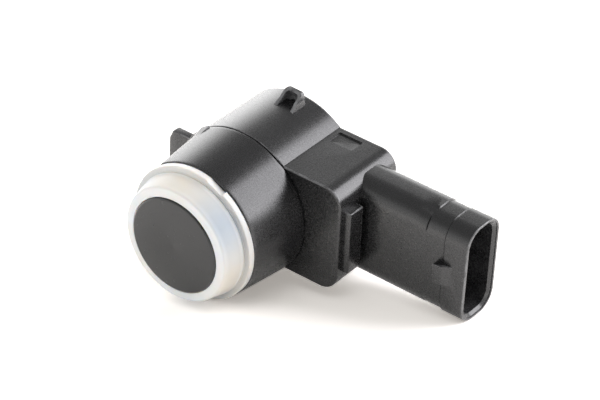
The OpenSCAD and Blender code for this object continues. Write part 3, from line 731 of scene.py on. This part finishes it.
# %% [markdown]
# Handling rubs the edges of a moulding paler than its walls, and the same pale colour also stands for the
# highlight that the upper edges catch, which is a painted highlight. The narrow faces of the rounded edges
# can be told from all others by how far they bend away from their neighbours, so this paleness is a number
# kept on each face, and the finish mixes it in. The slopes of the clips are painted pale in the same way, and
# the socket and the clips' hollows are painted a little paler, as painted light where little light reaches.

# %% How far each face bends
BEND_LIMIT = 25


def face_values(mesh, key, width):
    """One stored value of every face as an array."""
    flat = np.empty(len(mesh.polygons) * width)
    mesh.polygons.foreach_get(key, flat)
    return flat.reshape(-1, width) if width > 1 else flat.astype(int)


def outward_bend(mesh):
    """Largest bend of each face, in degrees: the angle between its normal and that of a neighbour.

    Two faces are neighbours where their loops share an edge. Only an outward edge counts, where the
    neighbour's centre lies below the face, and only up to a limit, because large faces meet at sharp corners.
    """
    normal, centre = face_values(mesh, "normal", 3), face_values(mesh, "center", 3)
    edges = np.empty(len(mesh.loops), int)
    mesh.loops.foreach_get("edge_index", edges)
    owner = np.repeat(np.arange(len(mesh.polygons)), face_values(mesh, "loop_total", 1))
    order = np.argsort(edges, kind="stable")
    paired = np.flatnonzero(np.diff(edges[order]) == 0)
    a, b = owner[order[paired]], owner[order[paired + 1]]
    bend = np.degrees(np.arccos(np.clip((normal[a] * normal[b]).sum(1), -1, 1)))
    outward = ((centre[b] - centre[a]) * normal[a]).sum(1) < 0
    bend = np.where(outward & (bend < BEND_LIMIT), bend, 0)
    most = np.zeros(len(mesh.polygons))
    np.maximum.at(most, a, bend)
    np.maximum.at(most, b, bend)
    return most


bends = outward_bend(housing.data)
print("largest outward bend:", round(bends.max(), 1), "degrees")

# %% Find the pale faces: worn edges, painted highlight and painted light
BEND_FROM, BEND_OVER = 9, 6
# Painted light: the socket and the clips' hollows are painted paler where little light reaches; the edges are
# partly wear, partly a painted highlight.
EDGE_WEAR_AND_HIGHLIGHT, SOCKET_PAINTED_LIGHT, POCKET_PAINTED_LIGHT = 0.75, 0.1, 0.6
SEAM_TO_X, SEAM_TO_Z, SEAM_BAND = 9, 9.5, 0.15
UPRIGHT_BAND, UPRIGHT_NORMAL = 0.5, 0.45
LINES_BEFORE, LINES_AFTER, WALL_BAND, NOSE_NORMAL = 3.1, 0.4, 0.2, 0.3
SLOPE_HALF, SLOPE_NORMAL = 2, (-0.95, -0.5)
POCKET_HALF, POCKET_LOW, POCKET_HIGH, POCKET_BACK = 1.3, 0.1, 0.2, 0.4
SOCKET_MARGIN, SOCKET_NORMAL = 0.02, 0.1


def kept_plain(p, normal):
    """Faces that get no pale colour: the seam, the upright front edges, the relief's lines and the nose."""
    x, y, z = p.T
    seam = (x < SEAM_TO_X) & (y < SEAM_Y + SEAM_BAND) & (z < SEAM_TO_Z)
    upright = (y < RIB_FRONT + UPRIGHT_BAND) & (np.abs(normal[:, 2]) < UPRIGHT_NORMAL)
    on_wall = y > wall_y - WALL_BAND
    lines = on_wall & (x > RELIEF_X - LINES_BEFORE) & (x < BAND_X + LINES_AFTER)
    nose_sides = ~on_wall & (x > RELIEF_X) & (normal[:, 2] < NOSE_NORMAL)
    return seam | upright | lines | nose_sides


def on_slope(p, normal):
    """Faces of a ramp's slope: above the cup, near its middle, and looking forwards and up."""
    near = (np.abs(p[:, 0]) < SLOPE_HALF) & (np.hypot(p[:, 0], p[:, 2]) > CUP_R)
    return near & (normal[:, 1] > SLOPE_NORMAL[0]) & (normal[:, 1] < SLOPE_NORMAL[1])


def in_socket(p, normal):
    """Faces of the socket: inside its section, in front of its floor, and not looking outwards."""
    across = p[:, 1:] - [SHROUD_Y, SOCKET["z"]]
    inside = (np.abs(across) < SOCKET["half"] + SOCKET_MARGIN).all(1)
    inside &= p[:, 0] > MOUTH_X - SOCKET_DEPTH - LOOSE
    return inside & ((across * normal[:, 1:]).sum(1) < SOCKET_NORMAL)


def in_pocket(p):
    """Faces of a ramp's hollow: between its legs, above the cup and below the roof."""
    tall = np.hypot(p[:, 0], p[:, 2])
    between = (tall > CUP_R + POCKET_LOW) & (tall < ramp_top - POCKET_HIGH)
    return between & (np.abs(p[:, 0]) < POCKET_HALF) & (p[:, 1] < ramp_back - POCKET_BACK)


def wear_and_painted_light(mesh):
    """Paleness of each face, from 0 to 1, kept as an attribute: on the edges it is partly wear and partly a
    painted highlight, from the bend of its edges, eased between two angles.

    The slopes have a paleness of their own, the socket and the hollows a painted light of their own, and the
    larger one counts.
    """
    normal, p = face_values(mesh, "normal", 3), face_values(mesh, "center", 3) / MM
    # Edges: partly wear, partly a painted highlight; slopes painted pale; socket and hollows painted light.
    paled = np.where(kept_plain(p, normal), 0, EDGE_WEAR_AND_HIGHLIGHT * ease((bends - BEND_FROM) / BEND_OVER))
    for wear_and_light in (on_slope(p, normal), SOCKET_PAINTED_LIGHT * in_socket(p, normal), POCKET_PAINTED_LIGHT * in_pocket(p)):
        paled = np.maximum(paled, wear_and_light)
    mesh.attributes.new("wear_and_light", "FLOAT", "FACE").data.foreach_set("value", paled)
    return paled


print("worn faces:", int((wear_and_painted_light(housing.data) > 0.5).sum()))


# %% [markdown]
# ## Finishes
# Every finish is a Principled shader fed by noise on Object coordinates. The scale of a noise is set in
# millimetres, because the object is small: a grain of 0.2 mm is a scale of 5000 in metres.

# %% Node helpers
def feed(tree, node, inputs):
    """Links inputs of a node to sockets, or sets them to numbers and colours."""
    for key, value in inputs.items():
        if isinstance(value, bpy.types.NodeSocket):
            tree.links.new(value, node.inputs[key])
        else:
            node.inputs[key].default_value = value


def add(tree, kind, inputs=None, **settings):
    """Outputs of a new node of a kind, with its settings made and its inputs fed."""
    node = tree.nodes.new("ShaderNode" + kind)
    for key, value in settings.items():
        setattr(node, key, value)
    feed(tree, node, inputs or {})
    return node.outputs


def new_material(name):
    """Node material with a Principled shader and the Object coordinates to feed its patterns."""
    material = bpy.data.materials.new(name)
    material.use_nodes = True
    tree = material.node_tree
    return material, tree, tree.nodes["Principled BSDF"], add(tree, "TexCoord")["Object"]


def noise(tree, place, grain_mm, detail=2.0, rough=0.5):
    """Noise whose features are about one grain across."""
    pattern = {"Scale": 1 / (grain_mm * MM), "Detail": detail, "Roughness": rough}
    return add(tree, "TexNoise", {"Vector": place, **pattern})["Fac"]


def ramp_between(tree, value, low, high, stops=(0.3, 0.7)):
    """Number from low to high as the value passes between two stops."""
    limits = {"From Min": stops[0], "From Max": stops[1], "To Min": low, "To Max": high}
    return add(tree, "MapRange", {"Value": value, **limits})["Result"]


def colour_ramp(tree, value, stops_at, colours):
    """Colour that runs through a list of colours as the value passes their stops, from 0 to 1."""
    node = tree.nodes.new("ShaderNodeValToRGB")
    stops = node.color_ramp.elements
    for stop_at in stops_at[1:-1]:
        stops.new(stop_at)
    for stop, colour in zip(stops, colours):
        stop.color = (*colour, 1)
    feed(tree, node, {"Fac": value})
    return node.outputs["Color"]


def blend_colours(tree, factor, first, second):
    """Colour between two, each given as three numbers or as another colour's socket."""
    a, b = [c if isinstance(c, bpy.types.NodeSocket) else (*c, 1) for c in (first, second)]
    return add(tree, "Mix", {"Factor": factor, "A": a, "B": b}, data_type="RGBA")["Result"]


def arithmetic(tree, operation, *values):
    """Result of one sum on values that are numbers or sockets."""
    return add(tree, "Math", dict(enumerate(values)), operation=operation)["Value"]


def dot(tree, place, way):
    """How far a vector reaches along a direction: their dot product."""
    return add(tree, "VectorMath", {0: place, 1: way}, operation="DOT_PRODUCT")["Value"]


def bump(tree, height, depth_mm):
    """Normal of a bump of a real depth in millimetres."""
    return add(tree, "Bump", {"Height": height, "Strength": 1, "Distance": depth_mm * MM})["Normal"]


def specks(tree, place, spacing_mm, size_mm, share):
    """Sparse dust: 1 inside a small ball about a few of the points of a scattered lattice, else 0."""
    cells = add(tree, "TexVoronoi", {"Vector": place, "Scale": 1 / (spacing_mm * MM)})
    size = size_mm / spacing_mm
    near = ramp_between(tree, cells["Distance"], 1, 0, (0.6 * size, size))
    lot = add(tree, "SeparateColor", {"Color": cells["Color"]})["Red"]
    return arithmetic(tree, "MULTIPLY", near, arithmetic(tree, "LESS_THAN", lot, share))


print("node helpers ready")

# %% [markdown]
# The black plastic is not one black: the mould's grain breaks up its gloss, the tone drifts a little over the
# surface, the edges are paler, partly worn and partly by a painted highlight, the hollows are painted lighter
# as painted light, and a few specks of dust lie on it. The collar has the same plastic with a grain of more
# depth, and no pale edges.

# %% Black plastic
DUST, DUST_SPACING, DUST_SIZE, DUST_SHARE = (0.55, 0.54, 0.52), 2.4, 0.09, 0.03
# Pale colour of edges, slopes and hollows: partly wear, partly a painted highlight and painted light.
PALE_WEAR_AND_LIGHT, PALE_PATCH, PALE_LEAST, PALE_STOPS = (0.21, 0.21, 0.215), 1.4, 0.3, (0.35, 0.6)
TONE_PATCH, TONE_DRIFT, GLOSS_DRIFT = 6.0, 0.12, 0.06
GRAIN_DETAIL, GRAIN_ROUGH = 3.0, 0.6
PLASTIC_IOR, PLASTIC_SPECULAR = 1.5, 0.6


def black_plastic(name, tone, rough, grain_mm, grain_depth_mm):
    """Dark plastic: drifting tone, broken pale edges and hollows that are partly wear and partly painted
    light, grain in the bump, uneven gloss and dust.
    """
    material, tree, shader, place = new_material(name)
    drift = ramp_between(tree, noise(tree, place, TONE_PATCH), 0, 1)
    dark, light = [[(1 + side * TONE_DRIFT) * c for c in tone] for side in (-1, 1)]
    colour = blend_colours(tree, drift, dark, light)
    wear_and_light = add(tree, "Attribute", attribute_name="wear_and_light")["Fac"]
    broken = ramp_between(tree, noise(tree, place, PALE_PATCH), PALE_LEAST, 1, PALE_STOPS)
    colour = blend_colours(tree, arithmetic(tree, "MULTIPLY", wear_and_light, broken), colour, PALE_WEAR_AND_LIGHT)
    dusty = specks(tree, place, DUST_SPACING, DUST_SIZE, DUST_SHARE)
    grain = noise(tree, place, grain_mm, GRAIN_DETAIL, GRAIN_ROUGH)
    feed(tree, shader, {
        "Base Color": blend_colours(tree, dusty, colour, DUST),
        "Roughness": ramp_between(tree, grain, rough - GLOSS_DRIFT, rough + GLOSS_DRIFT),
        "Normal": bump(tree, grain, grain_depth_mm),
        "IOR": PLASTIC_IOR,
        "Specular IOR Level": PLASTIC_SPECULAR})
    return material


housing_finish = black_plastic(
    "housing_plastic", tone=(0.012, 0.012, 0.0125), rough=0.27, grain_mm=0.26, grain_depth_mm=0.0018)
collar_finish = black_plastic(
    "collar_plastic", tone=(0.010, 0.010, 0.0105), rough=0.27, grain_mm=0.21, grain_depth_mm=0.0058)
print("black plastics:", housing_finish.name, collar_finish.name)

# %% [markdown]
# Milky silicone scatters light below its surface. Where it is thick, as at the front and in the flange's rim,
# it is white, and where it is a thin skin over the dark collar and pot it is a cool grey. So its colour
# follows the distance from the sensing axis, and in that table a bright line on the lip's edge is a painted
# highlight and the grey of the flange's face is partly a painted shade from the nose. Like all milky things
# it looks bluish against the dark and warm against the light; here that light is painted: round the axis a
# set of colours in cool light and one in warm light take turns, and the flange is painted paler on its upper
# left side, as if lit from there.

# %% Silicone
# Partly painted: the bright stop at 9.92 mm is a painted highlight on the lip's edge, and the grey stops from
# 10.02 mm on the flange's face are partly thin skin and partly a painted shade from the nose.
SKIN_AT = np.array([8.9, 9.4, 9.82, 9.92, 10.02, 10.5, 10.72])
SKIN_IN_COOL_LIGHT = [(0.87, 0.90, 0.92), (0.45, 0.50, 0.55), (0.47, 0.52, 0.57), (0.74, 0.77, 0.80),
             (0.50, 0.51, 0.53), (0.53, 0.54, 0.55), (0.58, 0.58, 0.57)]
SKIN_IN_WARM_LIGHT = [(0.92, 0.91, 0.88), (0.76, 0.71, 0.62), (0.76, 0.71, 0.62), (0.92, 0.90, 0.85),
             (0.62, 0.61, 0.58), (0.64, 0.63, 0.60), (0.73, 0.71, 0.67)]
# Painted light: warm light at three places round the axis, and the flange's upper left side painted paler as
# if lit.
WARM_LIGHT_AT, LIT_SIDE_AT = np.radians([99, 130])
WARM_LIGHT_PLACES, FLANGE_LIT_SHARE, FLANGE_BAND = 3, (0.3, 0.5), 0.1
LIGHT_FROM_LEFT, CLOUD, CLOUD_PATCH, CLOUD_SHARE = (0.92, 0.92, 0.90), (0.9, 0.88, 0.84), 3.0, 0.12
SCATTER, SCATTER_MM, SILICONE_IOR = (1.0, 0.85, 0.7), 0.35, 1.41
SILICONE_GRAIN, SILICONE_DEPTH, SILICONE_ROUGH = 0.5, 0.004, (0.28, 0.4)


def silicone():
    """Milky rubber: colour by the distance from the axis, painted warm light at three places round it, and
    scattering.

    The distance is the root of x squared plus z squared. The warm light is the cosine of three times the
    angle from the first warm place, brought to 0 to 1. The flange is painted paler on one side, as painted
    light, by the cosine of the angle from it.
    """
    material, tree, shader, place = new_material("milky_silicone")
    axes = add(tree, "SeparateXYZ", {"Vector": place})
    x, z = axes["X"], axes["Z"]
    squares = arithmetic(tree, "MULTIPLY_ADD", x, x, arithmetic(tree, "MULTIPLY", z, z))
    reach = arithmetic(tree, "POWER", squares, 0.5)
    share = ramp_between(tree, reach, 0, 1, (SKIN_AT[0] * MM, SKIN_AT[-1] * MM))
    stops_at = (SKIN_AT - SKIN_AT[0]) / (SKIN_AT[-1] - SKIN_AT[0])
    cool, warm = [colour_ramp(tree, share, stops_at, skin) for skin in (SKIN_IN_COOL_LIGHT, SKIN_IN_WARM_LIGHT)]
    # Painted warm and cool light taking turns round the axis.
    angle = arithmetic(tree, "ARCTAN2", z, x)
    turn = arithmetic(tree, "MULTIPLY_ADD", angle, WARM_LIGHT_PLACES, -WARM_LIGHT_PLACES * WARM_LIGHT_AT)
    warm_light = ramp_between(tree, arithmetic(tree, "COSINE", turn), 0, 1, (-1, 1))
    milk_and_light = blend_colours(tree, warm_light, cool, warm)
    # Painted light on the flange's upper left side.
    side = arithmetic(tree, "COSINE", arithmetic(tree, "SUBTRACT", angle, LIT_SIDE_AT))
    flange = ramp_between(tree, reach, *FLANGE_LIT_SHARE, (LIP_R * MM, (LIP_R + FLANGE_BAND) * MM))
    lit_from_left = arithmetic(tree, "MULTIPLY", ramp_between(tree, side, 0, 1, (0, 1)), flange)
    milk_and_light = blend_colours(tree, lit_from_left, milk_and_light, LIGHT_FROM_LEFT)
    cloud = ramp_between(tree, noise(tree, place, CLOUD_PATCH, GRAIN_DETAIL), 0, CLOUD_SHARE)
    fine = noise(tree, place, SILICONE_GRAIN)
    feed(tree, shader, {
        "Base Color": blend_colours(tree, cloud, milk_and_light, CLOUD),
        "Subsurface Weight": 1.0,
        "Subsurface Radius": SCATTER,
        "Subsurface Scale": SCATTER_MM * MM,
        "IOR": SILICONE_IOR,
        "Roughness": ramp_between(tree, fine, *SILICONE_ROUGH),
        "Normal": bump(tree, fine, SILICONE_DEPTH)})
    return material


silicone_finish = silicone()
print("silicone:", silicone_finish.name)

# %% [markdown]
# The painted face, the resin, the metal and the inner parts need less: a tone that drifts between two
# colours, an uneven gloss and a fine bump. So they are rows of one table: the slot, both colours, the
# roughness, the grain and its depth in millimetres, and what else is special.

# %% Paint, resin, metal and the inner parts
PLAIN_LOOKS = [
    ("painted_face", [0.0145] * 3, [0.0155] * 3, 0.32, 0.5, 0.0002, dict(specular=0.47)),
    ("piezo_ceramic", (0.70, 0.63, 0.46), (0.80, 0.74, 0.58), 0.7, 0.1, 0.003, {}),
    ("soft_fill", (0.28, 0.28, 0.27), (0.40, 0.40, 0.39), 0.9, 0.3, 0.06, {}),
    ("red_sleeve", (0.50, 0.04, 0.03), (0.62, 0.07, 0.05), 0.35, 0.2, 0.003, {}),
    ("black_sleeve", (0.03, 0.03, 0.03), (0.05, 0.05, 0.05), 0.35, 0.2, 0.003, {}),
    ("board", (0.02, 0.16, 0.07), (0.05, 0.26, 0.12), 0.3, 0.25, 0.004, dict(coat=0.4)),
    ("copper_wire", (0.60, 0.28, 0.11), (0.75, 0.40, 0.18), 0.3, 0.1, 0.02, dict(metallic=1.0)),
    ("ferrite", (0.07, 0.07, 0.08), (0.12, 0.12, 0.13), 0.55, 0.15, 0.006, {}),
    ("chip_case", (0.035, 0.035, 0.04), (0.055, 0.055, 0.06), 0.55, 0.12, 0.005, {}),
    ("capacitor_body", (0.52, 0.38, 0.18), (0.66, 0.50, 0.26), 0.5, 0.15, 0.004, {}),
    ("tinned_metal", (0.62, 0.62, 0.60), (0.78, 0.78, 0.76), 0.25, 0.2, 0.002, dict(metallic=1.0)),
    ("resin", (0.016, 0.016, 0.018), (0.028, 0.028, 0.030), 0.16, 1.6, 0.02, dict(coat=0.3)),
]
PLAIN_GLOSS_DRIFT, GRAINS_A_PATCH = 0.05, 12


def plain_look(name, dark, light, rough, grain_mm, depth_mm, metallic=0.0, coat=0.0, specular=0.5):
    """Finish with a tone that drifts between two colours, uneven gloss and a fine bump of one grain."""
    material, tree, shader, place = new_material(name)
    grain = noise(tree, place, grain_mm, GRAIN_DETAIL)
    drift = ramp_between(tree, noise(tree, place, GRAINS_A_PATCH * grain_mm), 0, 1)
    feed(tree, shader, {
        "Base Color": blend_colours(tree, drift, dark, light),
        "Roughness": ramp_between(tree, grain, rough - PLAIN_GLOSS_DRIFT, rough + PLAIN_GLOSS_DRIFT),
        "Normal": bump(tree, grain, depth_mm),
        "Metallic": metallic,
        "Coat Weight": coat,
        "Specular IOR Level": specular})
    return material


finishes = {"black_plastic": housing_finish, "collar_plastic": collar_finish, "silicone": silicone_finish}
for name, *look, special in PLAIN_LOOKS:
    finishes[name] = plain_look(name, *look, **special)
print("finishes:", len(finishes))

# %% [markdown]
# Each node takes the finish of its slot in the record. The new pieces stand for their nodes, ride on the one
# body, and take the same slots.

# %% Dress the nodes and the new pieces
slot_of = {part["node"]: part["material_slot"] for part in frame["record"]["subparts"]}
for name, node in frame["nodes"].items():
    node.data.materials.clear()
    node.data.materials.append(finishes[slot_of[name]])


def dress(piece, node):
    """Gives a new piece its node's finish and lets it stand for that node."""
    piece.data.materials.clear()
    piece.data.materials.append(finishes[slot_of[node]])
    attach(piece, "root")
    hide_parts(node)


dress(ring, "decoupling_ring")
dress(pot, "transducer_pot")
dress(collar_piece, "front_collar")
dress(housing, "housing")
print("dressed", len(frame["nodes"]), "nodes, of which 4 have new surfaces")


# %% [markdown]
# ## Floor and light
# The sensor lies on a white floor, on its collar's front edge, its lower clip and the lower end of its mouth,
# so the floor is tilted against the frame. The plane through those three touching points is found by turns:
# take the lowest point of each group along the floor's normal, lay the plane through them, and repeat.

# %% Find the plane under the three touching points
TURNS_TO_SETTLE = 8


def vertices(piece):
    """All vertices of a mesh object as an array."""
    flat = np.empty(len(piece.data.vertices) * 3)
    piece.data.vertices.foreach_get("co", flat)
    return flat.reshape(-1, 3)


def resting_plane():
    """A point of the plane and its normal, from the lowest points of collar, lower clip and mouth."""
    shell = vertices(housing)
    lower_clip = (np.abs(shell[:, 0]) < RAMP_W * MM) & (shell[:, 2] < -CUP_R * MM)
    groups = [vertices(collar_piece), shell[lower_clip], shell[shell[:, 0] > BAND_X * MM]]
    normal = np.array([0.0, 0.0, 1.0])
    for _ in range(TURNS_TO_SETTLE):
        touch = [group[np.argmin(group @ normal)] for group in groups]
        normal = unit(np.cross(touch[1] - touch[0], touch[2] - touch[0]))
        normal *= np.sign(normal[2])
    return touch[0], normal


floor_point, floor_normal = resting_plane()
tilt = round(np.degrees(np.arccos(floor_normal[2])), 1)
print("floor normal", np.round(floor_normal, 3), "tilt", tilt, "degrees")

# %% Lay the floor
FLOOR_COLOUR, LIFT_COLOUR = (0.90, 0.88, 0.855), (1, 0.93, 0.85, 1)
CAMERA_GAIN, GLOSS_GAIN, WINDOW_GAIN, FLOOR_LIFT = 0.38, 0.95, 2.2, 0.27
WINDOW_AZIMUTH, WINDOW_ELEVATION = np.radians([226, 9])
WINDOW_LIGHT = (10 * MM, 50 * MM)
FLOOR_HALF = 3.0


def floor_material():
    """White floor that keeps the shadow; the camera and mirrors see it brighter, and its underside is clear.

    Its colour is scaled by one, plus a gain for rays from the camera or from a gloss. The gain for a gloss
    grows towards the window, where the floor is lit from near by. A small light of its own lifts the shadows
    for the camera.
    """
    material = bpy.data.materials.new("white_floor")
    material.use_nodes = True
    tree = material.node_tree
    tree.nodes.clear()
    path = add(tree, "LightPath")
    to_window = dot(tree, add(tree, "TexCoord")["Object"], direction(WINDOW_AZIMUTH, 0))
    gloss_gain = ramp_between(tree, to_window, GLOSS_GAIN, WINDOW_GAIN, WINDOW_LIGHT)
    scale = arithmetic(tree, "MULTIPLY_ADD", path["Is Camera Ray"], CAMERA_GAIN, 1)
    scale = arithmetic(tree, "MULTIPLY_ADD", path["Is Glossy Ray"], gloss_gain, scale)
    tint = add(tree, "VectorMath", {0: FLOOR_COLOUR, "Scale": scale}, operation="SCALE")["Vector"]
    lift = arithmetic(tree, "MULTIPLY", path["Is Camera Ray"], FLOOR_LIFT)
    matt = add(tree, "BsdfDiffuse", {"Color": tint})["BSDF"]
    glow = add(tree, "Emission", {"Color": LIFT_COLOUR, "Strength": lift})["Emission"]
    upper = add(tree, "AddShader", {0: matt, 1: glow})["Shader"]
    lower = add(tree, "BsdfTransparent")["BSDF"]
    below = add(tree, "NewGeometry")["Backfacing"]
    add(tree, "OutputMaterial", {"Surface": add(tree, "MixShader", {0: below, 1: upper, 2: lower})["Shader"]})
    return material


def lay_floor(point, normal):
    """Large square in the resting plane."""
    across = unit(np.cross(normal, [0, 1, 0]))
    onward = np.cross(normal, across)
    signs = ((-1, -1), (1, -1), (1, 1), (-1, 1))
    corners = [point + FLOOR_HALF * (a * across + b * onward) for a, b in signs]
    mesh = bpy.data.meshes.new("floor")
    mesh.from_pydata([c.tolist() for c in corners], [], [(0, 1, 2, 3)])
    if mesh.polygons[0].normal @ Vector(normal) < 0:
        mesh.flip_normals()
    mesh.materials.append(floor_material())
    floor = bpy.data.objects.new("floor", mesh)
    bpy.context.scene.collection.objects.link(floor)
    return floor


floor = lay_floor(floor_point, floor_normal)
print("floor:", 2 * FLOOR_HALF, "m wide")

# %% [markdown]
# A soft box stands behind on the right, tilted, and lies along the collar and the block as a grey sheen. A
# second one hangs overhead. The world is a white studio that gets darker towards the ceiling, with the glow
# of a window on the rear left, which makes that outline melt into white. It is plain white where the camera
# sees it.

# %% Softboxes
def softbox(name, azimuth, elevation, distance, size, tilt, watts, colour):
    """Area lamp at a direction and distance, turned towards the point the camera looks at, then tilted."""
    lamp = bpy.data.lights.new(name, "AREA")
    lamp.shape = "RECTANGLE"
    lamp.size, lamp.size_y = size
    lamp.energy = watts
    lamp.color = colour
    stand_at = direction(np.radians(azimuth), np.radians(elevation))
    facing = Vector(stand_at).to_track_quat("Z", "Y")
    box = bpy.data.objects.new(name, lamp)
    box.location = Vector(LOOK_AT + distance * stand_at)
    box.rotation_mode = "QUATERNION"
    box.rotation_quaternion = facing @ Quaternion((0, 0, 1), np.radians(tilt))
    box.visible_camera = False
    bpy.context.scene.collection.objects.link(box)
    return box


boxes = [
    softbox("right_rear_box", azimuth=137, elevation=32, distance=0.7, size=(0.60, 0.38), tilt=58,
            watts=5.0, colour=(0.97, 0.96, 1.0)),
    softbox("overhead_box", azimuth=30, elevation=76, distance=0.9, size=(0.5, 0.5), tilt=0,
            watts=1.0, colour=(1, 1, 1))]
print("softboxes:", [box.name for box in boxes])

# %% World
SKY_HEIGHTS = [0.0, 0.2, 0.38, 0.57, 0.7, 1.0]
SKY_GREYS = [1.0, 1.0, 0.8, 0.44, 0.32, 0.22]
SKY_STRENGTH, DARK_STRENGTH = 1.6, 0.32
DARK_ROOM = (0.80, 0.96)
WINDOW, WINDOW_GLOW = 3.1, (0.905, 1.0)


def studio_world():
    """World whose brightness follows the height of a direction; a camera ray sees plain white.

    Round the camera itself the room is dark: the brightness falls as the cosine of the angle between a
    direction and the view gets near to one. Round a window on the rear left it rises in the same way.
    """
    world = bpy.data.worlds.new("studio")
    bpy.context.scene.world = world
    world.use_nodes = True
    tree = world.node_tree
    place = add(tree, "TexCoord")["Generated"]
    height = add(tree, "SeparateXYZ", {"Vector": place})["Z"]
    sky = colour_ramp(tree, height, SKY_HEIGHTS, [[grey] * 3 for grey in SKY_GREYS])
    to_camera = dot(tree, place, direction(VIEW_AZIMUTH, VIEW_ELEVATION))
    to_window = dot(tree, place, direction(WINDOW_AZIMUTH, WINDOW_ELEVATION))
    dark = ramp_between(tree, to_camera, SKY_STRENGTH, DARK_STRENGTH, DARK_ROOM)
    window = ramp_between(tree, to_window, 0, WINDOW, WINDOW_GLOW)
    lit = arithmetic(tree, "MULTIPLY_ADD", sky, dark, window)
    by_camera = add(tree, "LightPath")["Is Camera Ray"]
    seen = add(tree, "Mix", {"Factor": by_camera, "A": lit, "B": 1})["Result"]
    feed(tree, tree.nodes["Background"], {"Color": (1, 1, 1, 1), "Strength": seen})


studio_world()
bpy.context.scene.view_settings.view_transform = "Standard"
print("world:", bpy.context.scene.world.name)
